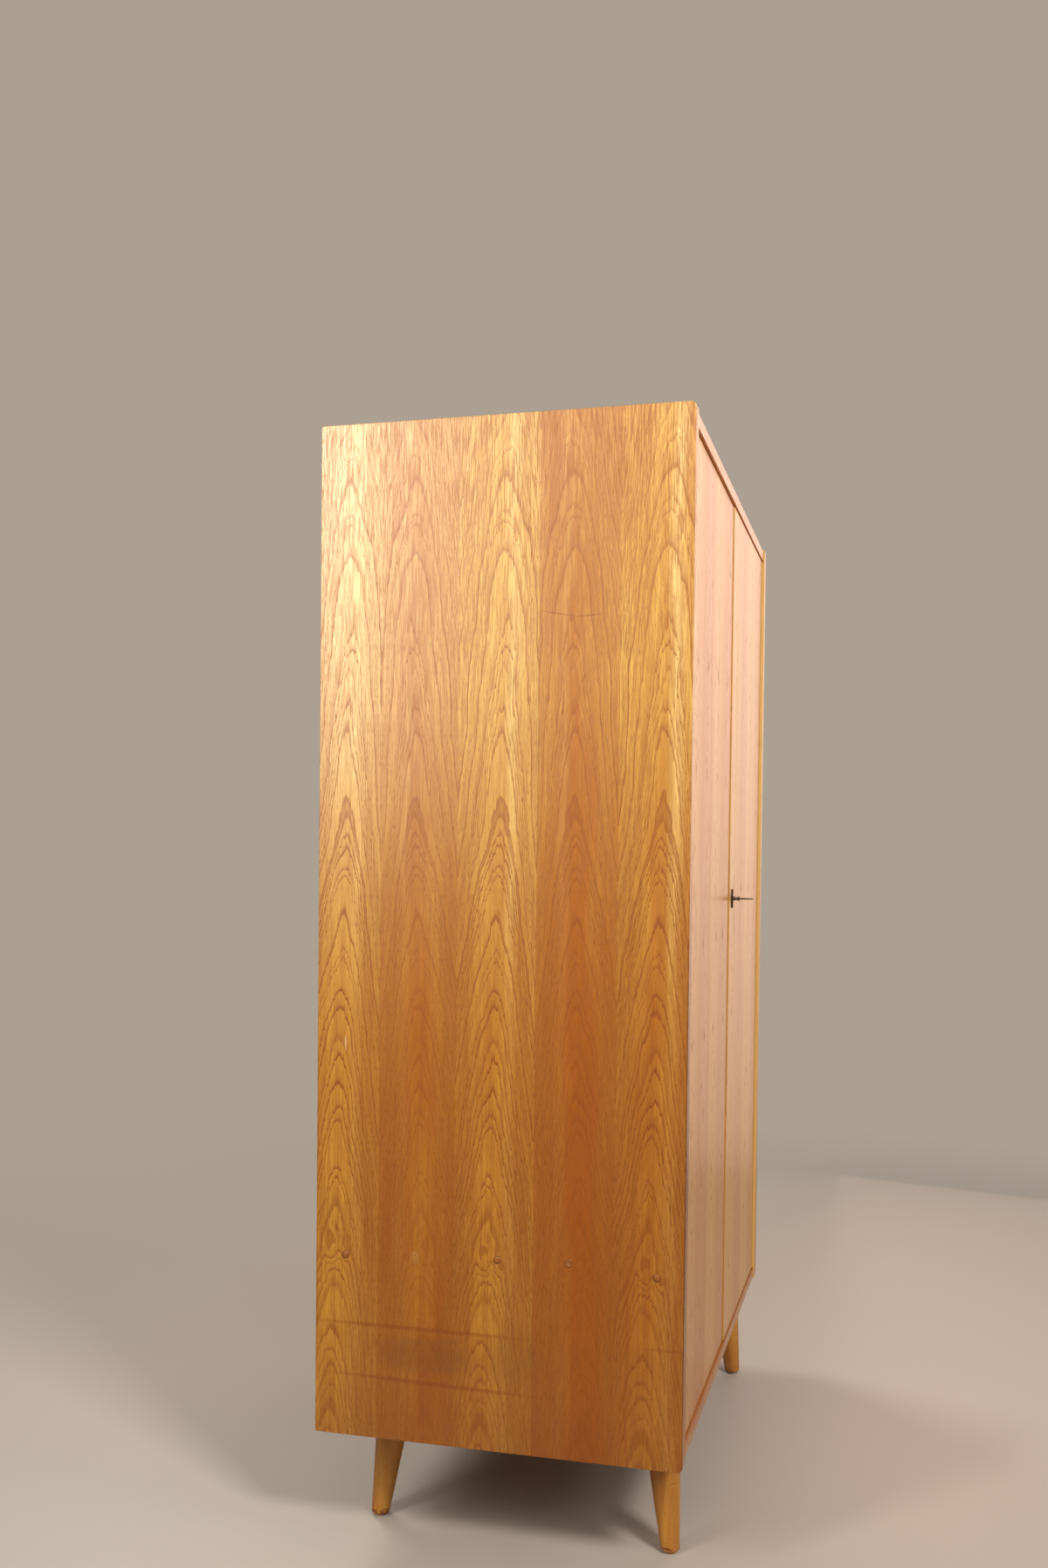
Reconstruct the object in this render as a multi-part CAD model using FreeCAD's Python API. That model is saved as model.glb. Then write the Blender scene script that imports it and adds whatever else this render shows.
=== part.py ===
import FreeCAD, Part
import os

# Wardrobe with two doors on four tapered, splayed legs, in millimetres.
# X is the width, the doors face -Y and +Z is up. The origin lies on the floor under the middle
# of the overall box, which runs from the key's tip to the screw heads in the back.

V = FreeCAD.Vector
X_AXIS = V(1, 0, 0)
Y_AXIS = V(0, 1, 0)
Z_AXIS = V(0, 0, 1)

# Carcass
CARCASS_WIDTH = 1100.0
CARCASS_DEPTH = 600.0
CARCASS_HEIGHT = 1620.0
PANEL = 26.0
RAIL_SETBACK = 3.0
FRONT_CORNER_R = 8.0
REAR_CORNER_R = 4.0
EDGE_EASE = 1.2
TONGUE_THICK = 9.0
TONGUE_LONG = 9.0
TONGUE_STOP = 30.0
JOINT_PLAY = 0.1

# Back panel and its round-head screws
BACK_THICK = 5.0
REBATE_WIDE = 13.0
BACK_PLAY = 0.5
BACK_HEAD_R = 4.0
BACK_HEAD_PROUD = 3.0
BACK_HEAD_DOME = 2.0
BACK_SCREW_R = 1.75
BACK_SCREW_LONG = 22.0
BACK_SCREW_FIRST = 111.0
BACK_SCREW_PITCH = 378.0
BACK_SCREW_PITCH_X = 262.0
BACK_SCREWS_X = 3

# Partition, shelves and dowels
BOARD = 19.0
BOARD_EASE = 1.5
HANGING_WIDTH = 660.0
SHELF_CLEAR = 4.5
DADO = 6.0
SHELF_LEVEL = 300.0
DOWEL_R = 5.0
DOWEL_INSET = 48.0
DOWELS = 5
DOWEL_GRIP = 24.0
DOWEL_SINK = 14.0
FIT_PLAY = 0.05
HAT_SPACE = 280.0
CLEAT = 20.0
CLEAT_INSET = 30.0
LINEN_SHELVES = 3
SHELF_SIDE_PLAY = 0.5
PIN_R = 3.0
PIN_COLLAR_R = 5.0
PIN_COLLAR = 2.0
PIN_REACH = 12.0
PIN_GRIP = 10.0
PIN_INSET = 60.0

# Hanging rail and its sockets
RAIL_R = 14.0
RAIL_DROP = 60.0
RAIL_PLAY = 0.3
SOCKET_BASE = 3.0
SOCKET_WALL = 3.0
SOCKET_DEEP = 15.0
SOCKET_FLANGE_R = 27.0
SOCKET_SCREW_OFF = 22.0
SOCKET_SCREW_LONG = 15.0

# Legs, their plates, studs and glides
LEG_LENGTH = 180.0
LEG_TOP_R = 29.0
LEG_FOOT_R = 15.0
LEG_SPLAY = 18.0
LEG_FOOT_EASE = 3.5
LEG_INSET_SIDE = 140.0
LEG_INSET_FRONT = 53.0
LEG_INSET_BACK = 87.0
LEG_PLATE = 66.0
LEG_PLATE_THICK = 3.0
LEG_PLATE_R = 7.0
LEG_SCREW_OFF = 26.0
LEG_SCREW_LONG = 18.0
STUD_R = 4.0
STUD_IN_LEG = 45.0
STUD_IN_PANEL = 18.0
GLIDE_R = 11.0
GLIDE_THICK = 4.0
GLIDE_EASE = 1.2
GLIDE_NAIL_R = 1.4
GLIDE_NAIL_LONG = 16.0

# Wood screws with flat heads
SCREW_HEAD_R = 3.1
SCREW_R = 1.5
SCREW_RIM = 0.3
SCREW_SLOT = 0.8
SCREW_SLOT_DEEP = 0.7

# Doors and their pivot hinges
DOOR = 20.0
DOOR_EASE = 1.0
DOOR_GAP = 2.5
HINGE_GAP = 2.0
SEAM = 3.0
LEFT_RECESS = 4.5
RIGHT_RECESS = 2.5
PIVOT_IN = 10.0
PIVOT_BACK = 6.0
PIVOT_PIN_R = 2.5
PIVOT_PIN_SHY = 0.2
PIVOT_LEAF = 2.0
PIVOT_LEAF_LONG = 44.0
PIVOT_LEAF_WIDE = 9.0
PIVOT_LEAF_END = 6.0
PIVOT_SCREWS = (16.0, 31.0)
PIVOT_SCREW_LONG = 16.0
WASHER_R = 4.4
WASHER_PLAY = 0.1

# Door stops
STOP_LONG = 120.0
STOP_DEEP = 16.0
STOP_HIGH = 14.0
STOP_EASE = 3.0
BUFFER_R = 6.0
BUFFER_THICK = 2.0
BUFFER_PLAY = 0.2

# Lock, strike and escutcheon
KEY_LEVEL = 862.0
BACKSET = 33.5
CASE_DEEP = 11.0
CASE_TAIL = 24.0
CASE_UP = 14.0
CASE_DOWN = 20.0
CASE_WALL = 1.2
LOCK_PLATE = 1.5
LOCK_FLANGE = 9.0
BOLT_THICK = 4.0
BOLT_HIGH = 14.0
BOLT_DROP = 3.5
BOLT_PLAY = 0.25
BOLT_SHY = 0.3
BOLT_THROW = 7.0
BOLT_TAIL = 20.0
TALON_FROM = 4.6
TALON_TO = 13.0
TALON_DEEP = 7.0
STUMP_R = 1.5
STUMP_FROM_KEY = 8.0
LOCK_SCREW_LONG = 8.0
STRIKE_WIDE = 10.0
STRIKE_HIGH = 44.0
STRIKE_R = 2.0
STRIKE_MORTISE = 9.0
STRIKE_SCREW_OFF = 16.0
STRIKE_SCREW_LONG = 15.0
ESCUTCHEON_HIGH = 36.0
ESCUTCHEON_WIDE = 14.0
ESCUTCHEON_THICK = 2.6
ESCUTCHEON_DOME = 1.7
ESCUTCHEON_PIN_R = 0.9
ESCUTCHEON_PIN_OFF = 13.5
ESCUTCHEON_PIN_LONG = 7.0
ESCUTCHEON_PIN_PROUD = 0.4

# Key
KEY_REACH = 41.0
KEY_SHAFT_R = 3.0
KEY_PLAY = 0.4
KEY_COLLAR_GAP = 0.6
KEY_COLLAR = 12.0
KEY_BEAD = 2.6
KEY_BEAD_R = 4.2
KEY_NECK_R = 3.2
BOW_WIDE = 25.0
BOW_THICK = 2.6
BOW_RIM = 4.6
BOW_EASE = 0.8
BIT_REACH = 9.0
BIT_THICK = 2.5
BIT_PLAY = 0.2
DRILL_PIN_R = 1.5

# Slide bolts inside the left door
SLIDE_FROM_SEAM = 22.0
SLIDE_PLATE_WIDE = 30.0
SLIDE_PLATE_LONG = 92.0
SLIDE_PLATE_THICK = 1.5
SLIDE_PLATE_INSET = 6.0
SLIDE_BAR_WIDE = 10.0
SLIDE_BAR_THICK = 5.0
SLIDE_BAR_LONG = 78.0
SLIDE_BAR_SHY = 1.0
SLIDE_PLAY = 0.2
SLIDE_TRAVEL = 14.0
SLIDE_BRIDGE = 10.0
SLIDE_BRIDGE_WALL = 2.0
SLIDE_BRIDGES = (12.0, 64.0)
SLIDE_KNOB_FROM = 38.0
SLIDE_KNOB_R = 4.5
SLIDE_KNOB_NECK_R = 2.5
SLIDE_KNOB_HIGH = 9.0
SLIDE_KNOB_EASE = 2.0
SLIDE_SCREW_LONG = 12.0
KEEPER_LONG = 34.0
KEEPER_WIDE = 13.0
KEEPER_THICK = 1.5
KEEPER_R = 3.0
KEEPER_PLAY = 0.5
KEEPER_SCREW_OFF = 11.5
KEEPER_SCREW_LONG = 14.0

# Levels and faces that the pieces share
KEY_STAND = KEY_REACH - RAIL_SETBACK - RIGHT_RECESS
FRONT = (KEY_STAND - CARCASS_DEPTH - BACK_HEAD_PROUD) / 2
BACK = FRONT + CARCASS_DEPTH
RAIL_FRONT = FRONT + RAIL_SETBACK
BACK_INSIDE = BACK - BACK_THICK
X_OUT = CARCASS_WIDTH / 2
X_IN = X_OUT - PANEL
Z_UNDER = LEG_LENGTH
Z_FLOOR = Z_UNDER + PANEL
Z_TOP = Z_UNDER + CARCASS_HEIGHT
Z_CEILING = Z_TOP - PANEL
LEFT_FACE = RAIL_FRONT + LEFT_RECESS
LEFT_BACK = LEFT_FACE + DOOR
RIGHT_FACE = RAIL_FRONT + RIGHT_RECESS
RIGHT_BACK = RIGHT_FACE + DOOR
INNER_FRONT = LEFT_BACK + SHELF_CLEAR
PARTITION_LEFT = -X_IN + HANGING_WIDTH
PARTITION_RIGHT = PARTITION_LEFT + BOARD
SHELF_Z = Z_UNDER + SHELF_LEVEL
DOWEL_PITCH = (CARCASS_DEPTH - 2 * DOWEL_INSET) / (DOWELS - 1)
LINEN_PITCH = (Z_CEILING - SHELF_Z) / (LINEN_SHELVES + 1)
HAT_TOP = Z_CEILING - HAT_SPACE
RAIL_Z = HAT_TOP - BOARD - RAIL_DROP
DOOR_LOW = Z_FLOOR + DOOR_GAP
DOOR_HIGH = Z_CEILING - DOOR_GAP
DOOR_EDGE = SEAM / 2
HINGE_EDGE = X_IN - HINGE_GAP
KEY_X = DOOR_EDGE + BACKSET
KEY_Z = Z_UNDER + KEY_LEVEL
TOUCH = 0.01
OVER = 1.0

pieces = {}
cutters = {}


def carve(host, *solids):
    """Note solids that are cut out of the named piece."""
    cutters.setdefault(host, []).extend(solids)


def span(first, second):
    """Order two coordinates as (low, high)."""
    return min(first, second), max(first, second)


def around(middle, size):
    """Low and high coordinates of a size centred on a middle."""
    return middle - size / 2, middle + size / 2


def block(x, y, z):
    """Box between (low, high) pairs of coordinates."""
    return Part.makeBox(x[1] - x[0], y[1] - y[0], z[1] - z[0], V(x[0], y[0], z[0]))


def pocket(shape, play):
    """Rectangular pocket that takes the shape with the given play all round."""
    box = shape.BoundBox
    x = (box.XMin - play, box.XMax + play)
    y = (box.YMin - play, box.YMax + play)
    return block(x, y, (box.ZMin - play, box.ZMax + play))


def rod(start, end, radius):
    """Cylinder between two points."""
    return Part.makeCylinder(radius, (end - start).Length, start, end - start)


def hole(start, end, radius, play=FIT_PLAY):
    """Hole for a rod between two points, with play at its wall and its ends."""
    step = (end - start).normalize() * play
    return rod(start - step, end + step, radius + play)


def lies_at(edge, place):
    """True if the whole edge lies at the coordinates in place, such as dict(y=FRONT)."""
    box = edge.BoundBox
    spans = {"x": (box.XMin, box.XMax), "y": (box.YMin, box.YMax), "z": (box.ZMin, box.ZMax)}
    return all(abs(end - level) < TOUCH for axis, level in place.items() for end in spans[axis])


def eased(shape, radius, *places):
    """Round over the edges that lie at one of the places."""
    edges = [edge for edge in shape.Edges if any(lies_at(edge, place) for place in places)]
    return shape.makeFillet(radius, edges)


def rounded_plate(x, y, z, axis, radius):
    """Box whose four edges along the axis are rounded."""
    plate = block(x, y, z)
    edges = [edge for edge in plate.Edges if abs(edge.tangentAt(edge.FirstParameter) * axis) > 0.5]
    return plate.makeFillet(radius, edges)


def turned(outline, base, axis):
    """Solid turned from (radius, height) points, standing on the base point along the axis."""
    points = [V(radius, 0, height) for radius, height in outline]
    face = Part.Face(Part.makePolygon(points + points[:1]))
    solid = face.revolve(V(0, 0, 0), Z_AXIS, 360)
    solid.Placement = FreeCAD.Placement(base, FreeCAD.Rotation(Z_AXIS, axis))
    return solid


def screw_form(point, axis, length, play):
    """Flat-head screw form with its head at the point, driven along the axis."""
    head = SCREW_HEAD_R + play
    shank = SCREW_R + play
    cone_end = SCREW_RIM + SCREW_HEAD_R - SCREW_R
    outline = [(0, 0), (head, 0), (head, SCREW_RIM), (shank, cone_end)]
    outline += [(shank, length - shank), (0, length + play)]
    return turned(outline, point, axis)


def screw(point, axis, length, *hosts):
    """Slotted flat-head screw, with its hole carved in the pieces that it goes through."""
    for host in hosts:
        carve(host, screw_form(point, axis, length, FIT_PLAY))
    slot = block(around(0, 2 * SCREW_HEAD_R + OVER), around(0, SCREW_SLOT), (-OVER, SCREW_SLOT_DEEP))
    slot.Placement = FreeCAD.Placement(point, FreeCAD.Rotation(Z_AXIS, axis))
    return screw_form(point, axis, length, 0).cut(slot)


def add_side_panels():
    """Side panels run the full height; only their outer faces and corners are rounded."""
    for name, side in (("side_panel_left", -1), ("side_panel_right", 1)):
        outer = side * X_OUT
        panel = block(span(side * X_IN, outer), (FRONT, BACK), (Z_UNDER, Z_TOP))
        panel = eased(panel, FRONT_CORNER_R, dict(y=FRONT, z=Z_TOP), dict(y=FRONT, z=Z_UNDER))
        panel = eased(panel, REAR_CORNER_R, dict(y=BACK, z=Z_TOP), dict(y=BACK, z=Z_UNDER))
        pieces[name] = eased(panel, EDGE_EASE, dict(x=outer))


def add_top_and_bottom():
    """Top and bottom stand between the sides on stopped tongues, a little behind their front edges."""
    for name, z, outside in (
        ("top_panel", (Z_CEILING, Z_TOP), Z_TOP),
        ("bottom_panel", (Z_UNDER, Z_FLOOR), Z_UNDER),
    ):
        panel = block((-X_IN, X_IN), (RAIL_FRONT, BACK), z)
        panel = eased(panel, FRONT_CORNER_R, dict(y=RAIL_FRONT, z=outside))
        panel = eased(panel, REAR_CORNER_R, dict(y=BACK, z=outside))
        for host, side in (("side_panel_left", -1), ("side_panel_right", 1)):
            x = span(side * (X_IN - OVER), side * (X_IN + TONGUE_LONG))
            y = (RAIL_FRONT + TONGUE_STOP, BACK_INSIDE - TONGUE_STOP)
            tongue = block(x, y, around(sum(z) / 2, TONGUE_THICK))
            panel = panel.fuse(tongue)
            carve(host, pocket(tongue, JOINT_PLAY))
        pieces[name] = panel.removeSplitter()


def add_back():
    """Plywood back in a rebate all round, flush with the rear edges, held by round-head screws."""
    recess_x = X_IN + REBATE_WIDE
    recess_z = (Z_FLOOR - REBATE_WIDE, Z_CEILING + REBATE_WIDE)
    recess = block((-recess_x, recess_x), (BACK_INSIDE, BACK + OVER), recess_z)
    for host in ("side_panel_left", "side_panel_right", "top_panel", "bottom_panel"):
        carve(host, recess)
    back_x = recess_x - BACK_PLAY
    back_z = (recess_z[0] + BACK_PLAY, recess_z[1] - BACK_PLAY)
    pieces["back_panel"] = block((-back_x, back_x), (BACK_INSIDE, BACK), back_z)

    rim = (REBATE_WIDE - BACK_PLAY) / 2
    places = []
    z = Z_UNDER + BACK_SCREW_FIRST
    while z < Z_CEILING - BACK_SCREW_FIRST / 2:
        places += [("side_panel_left", -X_IN - rim, z), ("side_panel_right", X_IN + rim, z)]
        z += BACK_SCREW_PITCH
    for step in range(BACK_SCREWS_X):
        x = (step - (BACK_SCREWS_X - 1) / 2) * BACK_SCREW_PITCH_X
        places += [("top_panel", x, Z_CEILING + rim), ("bottom_panel", x, Z_FLOOR - rim)]
    screws = []
    for host, x, z in places:
        head = rod(V(x, BACK, z), V(x, BACK + BACK_HEAD_PROUD, z), BACK_HEAD_R)
        head = eased(head, BACK_HEAD_DOME, dict(y=BACK + BACK_HEAD_PROUD))
        tip = V(x, BACK - BACK_SCREW_LONG, z)
        screws.append(head.fuse(rod(tip, V(x, BACK + OVER, z), BACK_SCREW_R)).removeSplitter())
        for wood in (host, "back_panel"):
            carve(wood, hole(tip, V(x, BACK, z), BACK_SCREW_R))
    pieces["back_panel_screws"] = Part.makeCompound(screws)


def board(x, z):
    """Shelf board between two x coordinates, with its front edge rounded over."""
    shelf = block(x, (INNER_FRONT, BACK_INSIDE), z)
    return eased(shelf, BOARD_EASE, dict(y=INNER_FRONT, z=z[0]), dict(y=INNER_FRONT, z=z[1]))


def add_partition_and_shelves():
    """Partition in stopped dados, with a fixed shelf on each side of it on hidden dowels."""
    z = (Z_FLOOR - DADO, Z_CEILING + DADO)
    partition = block((PARTITION_LEFT, PARTITION_RIGHT), (INNER_FRONT, BACK_INSIDE), z)
    for host in ("top_panel", "bottom_panel"):
        carve(host, pocket(partition, JOINT_PLAY))
    edges = [dict(x=x, y=INNER_FRONT) for x in (PARTITION_LEFT, PARTITION_RIGHT)]
    pieces["partition"] = eased(partition, BOARD_EASE, *edges)

    pieces["shoe_shelf"] = board((-X_IN, PARTITION_LEFT), around(SHELF_Z, BOARD))
    pieces["lower_linen_shelf"] = board((PARTITION_RIGHT, X_IN), around(SHELF_Z, BOARD))
    rows = (
        (-X_IN - DOWEL_SINK, -X_IN + DOWEL_GRIP, ("side_panel_left", "shoe_shelf")),
        (PARTITION_LEFT - DOWEL_GRIP, PARTITION_RIGHT + DOWEL_GRIP,
         ("partition", "shoe_shelf", "lower_linen_shelf")),
        (X_IN - DOWEL_GRIP, X_IN + DOWEL_SINK, ("side_panel_right", "lower_linen_shelf")),
    )
    dowels = []
    for start, end, hosts in rows:
        for step in range(DOWELS):
            y = FRONT + DOWEL_INSET + step * DOWEL_PITCH
            ends = V(start, y, SHELF_Z), V(end, y, SHELF_Z)
            dowels.append(rod(*ends, DOWEL_R))
            for host in hosts:
                carve(host, hole(*ends, DOWEL_R))
    pieces["shelf_dowels"] = Part.makeCompound(dowels)


def add_hat_shelf():
    """Hat shelf over the hanging space, lying on a cleat on each side."""
    x = (-X_IN + SHELF_SIDE_PLAY, PARTITION_LEFT - SHELF_SIDE_PLAY)
    low = HAT_TOP - BOARD
    pieces["hat_shelf"] = board(x, (low, HAT_TOP))
    y = (INNER_FRONT + CLEAT_INSET, BACK_INSIDE)
    cleats = []
    for wall, inward in ((-X_IN, 1), (PARTITION_LEFT, -1)):
        face = wall + inward * CLEAT
        cleat = block(span(wall, face), y, (low - CLEAT, low))
        cleats.append(eased(cleat, STOP_EASE, dict(x=face, z=low - CLEAT)))
    pieces["hat_shelf_cleats"] = Part.makeCompound(cleats)


def add_linen_shelves():
    """Loose linen shelves, each lying on four collared pins."""
    x = (PARTITION_RIGHT + SHELF_SIDE_PLAY, X_IN - SHELF_SIDE_PLAY)
    pins = []
    for number in range(1, LINEN_SHELVES + 1):
        low = SHELF_Z + number * LINEN_PITCH - BOARD / 2
        pieces["linen_shelf_%d" % number] = board(x, (low, low + BOARD))
        z = low - PIN_R
        for wall, inward, host in ((PARTITION_RIGHT, 1, "partition"), (X_IN, -1, "side_panel_right")):
            for y in (INNER_FRONT + PIN_INSET, BACK_INSIDE - PIN_INSET):
                root = V(wall - inward * PIN_GRIP, y, z)
                peg = rod(root, V(wall + inward * PIN_REACH, y, z), PIN_R)
                collar_low = z - PIN_COLLAR_R
                collar = rod(V(wall, y, z), V(wall + inward * PIN_COLLAR, y, z), PIN_COLLAR_R)
                collar = collar.common(block(around(wall, CLEAT), around(y, CLEAT), (collar_low, low)))
                pins.append(peg.fuse(collar).removeSplitter())
                carve(host, hole(root, V(wall, y, z), PIN_R))
    pieces["shelf_pins"] = Part.makeCompound(pins)


def add_hanging_rail():
    """Wooden rail in two flanged cups under the hat shelf."""
    y = (INNER_FRONT + BACK_INSIDE) / 2
    inner = RAIL_R + RAIL_PLAY
    wall_r = inner + SOCKET_WALL
    sockets, screws = [], []
    for wall, inward, host in ((-X_IN, 1, "side_panel_left"), (PARTITION_LEFT, -1, "partition")):
        outline = [(0, 0), (SOCKET_FLANGE_R, 0), (SOCKET_FLANGE_R, SOCKET_BASE), (wall_r, SOCKET_BASE)]
        outline += [(wall_r, SOCKET_DEEP), (inner, SOCKET_DEEP), (inner, SOCKET_BASE), (0, SOCKET_BASE)]
        sockets.append(turned(outline, V(wall, y, RAIL_Z), X_AXIS * inward))
        for off in (-SOCKET_SCREW_OFF, SOCKET_SCREW_OFF):
            point = V(wall + inward * SOCKET_BASE, y, RAIL_Z + off)
            screws.append(screw(point, X_AXIS * -inward, SOCKET_SCREW_LONG, "rail_sockets", host))
    pieces["rail_sockets"] = Part.makeCompound(sockets)
    pieces["rail_socket_screws"] = Part.makeCompound(screws)
    ends = -X_IN + SOCKET_BASE + RAIL_PLAY, PARTITION_LEFT - SOCKET_BASE - RAIL_PLAY
    pieces["hanging_rail"] = rod(V(ends[0], y, RAIL_Z), V(ends[1], y, RAIL_Z), RAIL_R)


def add_legs():
    """Tapered legs that splay along both axes, each on a stud through a screwed plate."""
    top_z = Z_UNDER - LEG_PLATE_THICK
    plates, screws, studs, glides = [], [], [], []
    for depth_name, y, out_y in (
        ("front", FRONT + LEG_INSET_FRONT, -1),
        ("back", BACK - LEG_INSET_BACK, 1),
    ):
        for side_name, side in (("left", -1), ("right", 1)):
            name = "%s_%s_leg" % (depth_name, side_name)
            top = V(side * (X_OUT - LEG_INSET_SIDE), y, Z_UNDER)
            foot = top + V(side * LEG_SPLAY, out_y * LEG_SPLAY, -LEG_LENGTH)
            axis = (top - foot).normalize()
            # The cone runs past both ends, and is then trimmed level with the floor and the plate
            past = axis * LEG_TOP_R
            slope = (LEG_TOP_R - LEG_FOOT_R) / (top - foot).Length
            grow = slope * LEG_TOP_R
            length = (top - foot).Length + 2 * LEG_TOP_R
            leg = Part.makeCone(LEG_FOOT_R - grow, LEG_TOP_R + grow, length, foot - past, axis)
            reach = 2 * LEG_TOP_R + LEG_SPLAY
            trim = block(around(top.x, 2 * reach), around(top.y, 2 * reach), (GLIDE_THICK, top_z))
            pieces[name] = eased(leg.common(trim), LEG_FOOT_EASE, dict(z=GLIDE_THICK))

            plate = rounded_plate(
                around(top.x, LEG_PLATE), around(top.y, LEG_PLATE), (top_z, Z_UNDER), Z_AXIS, LEG_PLATE_R
            )
            stud_ends = top - axis * STUD_IN_LEG, top + axis * STUD_IN_PANEL
            plates.append(plate.cut(hole(*stud_ends, STUD_R)))
            studs.append(rod(*stud_ends, STUD_R))
            for host in (name, "bottom_panel"):
                carve(host, hole(*stud_ends, STUD_R))
            for x_off in (-LEG_SCREW_OFF, LEG_SCREW_OFF):
                for y_off in (-LEG_SCREW_OFF, LEG_SCREW_OFF):
                    point = V(top.x + x_off, top.y + y_off, top_z)
                    screws.append(screw(point, Z_AXIS, LEG_SCREW_LONG, "leg_plates", "bottom_panel"))

            middle = V(foot.x, foot.y, 0) + axis * (GLIDE_THICK / axis.z)
            disc = rod(V(middle.x, middle.y, 0), middle, GLIDE_R)
            disc = eased(disc, GLIDE_EASE, dict(z=0))
            nail_end = middle + Z_AXIS * GLIDE_NAIL_LONG
            glides.append(disc.fuse(rod(middle - Z_AXIS, nail_end, GLIDE_NAIL_R)).removeSplitter())
            carve(name, hole(middle, nail_end, GLIDE_NAIL_R))
    pieces["leg_plates"] = Part.makeCompound(plates)
    pieces["leg_plate_screws"] = Part.makeCompound(screws)
    pieces["leg_studs"] = Part.makeCompound(studs)
    pieces["leg_glides"] = Part.makeCompound(glides)


def add_doors():
    """Flush doors, inset in the carcass, with their front edges softened."""
    for name, x, face in (
        ("left_door", (-HINGE_EDGE, -DOOR_EDGE), LEFT_FACE),
        ("right_door", (DOOR_EDGE, HINGE_EDGE), RIGHT_FACE),
    ):
        door = block(x, (face, face + DOOR), (DOOR_LOW, DOOR_HIGH))
        pieces[name] = eased(door, DOOR_EASE, dict(y=face))


def add_pivots():
    """Pivot hinges: a leaf with a pin in each door edge turns in a leaf let into the panel facing it."""
    carcass_screws, washers = [], []
    for door, side, face in (("left_door", -1, LEFT_FACE), ("right_door", 1, RIGHT_FACE)):
        x = side * (HINGE_EDGE - PIVOT_IN)
        y = face + PIVOT_BACK
        leaf_x = span(x + side * PIVOT_LEAF_END, x - side * (PIVOT_LEAF_LONG - PIVOT_LEAF_END))
        leaf_y = around(y, PIVOT_LEAF_WIDE)
        end_r = PIVOT_LEAF_WIDE / 2 - TOUCH
        door_screws = []
        for end, up, edge, panel_face, host in (
            ("upper", 1, DOOR_HIGH, Z_CEILING, "top_panel"),
            ("lower", -1, DOOR_LOW, Z_FLOOR, "bottom_panel"),
        ):
            door_leaf = "%s_%s_pivot" % (door, end)
            leaf = rounded_plate(leaf_x, leaf_y, span(edge - up * PIVOT_LEAF, edge), Z_AXIS, end_r)
            carve(door, leaf)
            pin_end = V(x, y, panel_face + up * (PIVOT_LEAF - PIVOT_PIN_SHY))
            pin = rod(V(x, y, edge - up * PIVOT_LEAF / 2), pin_end, PIVOT_PIN_R)
            pieces[door_leaf] = leaf.fuse(pin).removeSplitter()

            panel_leaf = "%s_%s_socket" % (door, end)
            far = panel_face + up * PIVOT_LEAF
            leaf = rounded_plate(leaf_x, leaf_y, span(panel_face, far), Z_AXIS, end_r)
            carve(host, leaf)
            pieces[panel_leaf] = leaf.cut(hole(V(x, y, panel_face), V(x, y, far), PIVOT_PIN_R))

            for off in PIVOT_SCREWS:
                screw_x = x - side * off
                point = V(screw_x, y, edge)
                door_screws.append(screw(point, Z_AXIS * -up, PIVOT_SCREW_LONG, door_leaf, door))
                point = V(screw_x, y, panel_face)
                carcass_screws.append(screw(point, Z_AXIS * up, PIVOT_SCREW_LONG, panel_leaf, host))
        pieces["%s_pivot_screws" % door] = Part.makeCompound(door_screws)
        washer_top = V(x, y, DOOR_LOW - WASHER_PLAY)
        washer = rod(V(x, y, Z_FLOOR), washer_top, WASHER_R)
        washers.append(washer.cut(hole(V(x, y, Z_FLOOR), washer_top, PIVOT_PIN_R)))
    pieces["socket_screws"] = Part.makeCompound(carcass_screws)
    pieces["pivot_washers"] = Part.makeCompound(washers)


def add_door_stops():
    """Stop blocks under the top panel, each with a felt buffer for its door."""
    stops, buffers = [], []
    for x, door_back in (
        (-(HINGE_EDGE + DOOR_EDGE) / 2, LEFT_BACK),
        ((PARTITION_RIGHT + X_IN) / 2, RIGHT_BACK),
    ):
        stop_face = door_back + BUFFER_PLAY + BUFFER_THICK
        z = (Z_CEILING - STOP_HIGH, Z_CEILING)
        stop = block(around(x, STOP_LONG), (stop_face, stop_face + STOP_DEEP), z)
        stops.append(eased(stop, STOP_EASE, dict(y=stop_face + STOP_DEEP, z=z[0])))
        seat = V(x, stop_face, sum(z) / 2)
        buffers.append(rod(seat, seat - Y_AXIS * BUFFER_THICK, BUFFER_R))
    pieces["door_stops"] = Part.makeCompound(stops)
    pieces["door_buffers"] = Part.makeCompound(buffers)


def keyhole(y, play):
    """Keyhole through the given depth: round for the shaft, with a slot below it for the bit."""
    round_part = rod(V(KEY_X, y[0], KEY_Z), V(KEY_X, y[1], KEY_Z), KEY_SHAFT_R + play)
    slot_z = (KEY_Z - BIT_REACH - play, KEY_Z)
    return round_part.fuse(block(around(KEY_X, BIT_THICK + 2 * play), y, slot_z))


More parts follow.
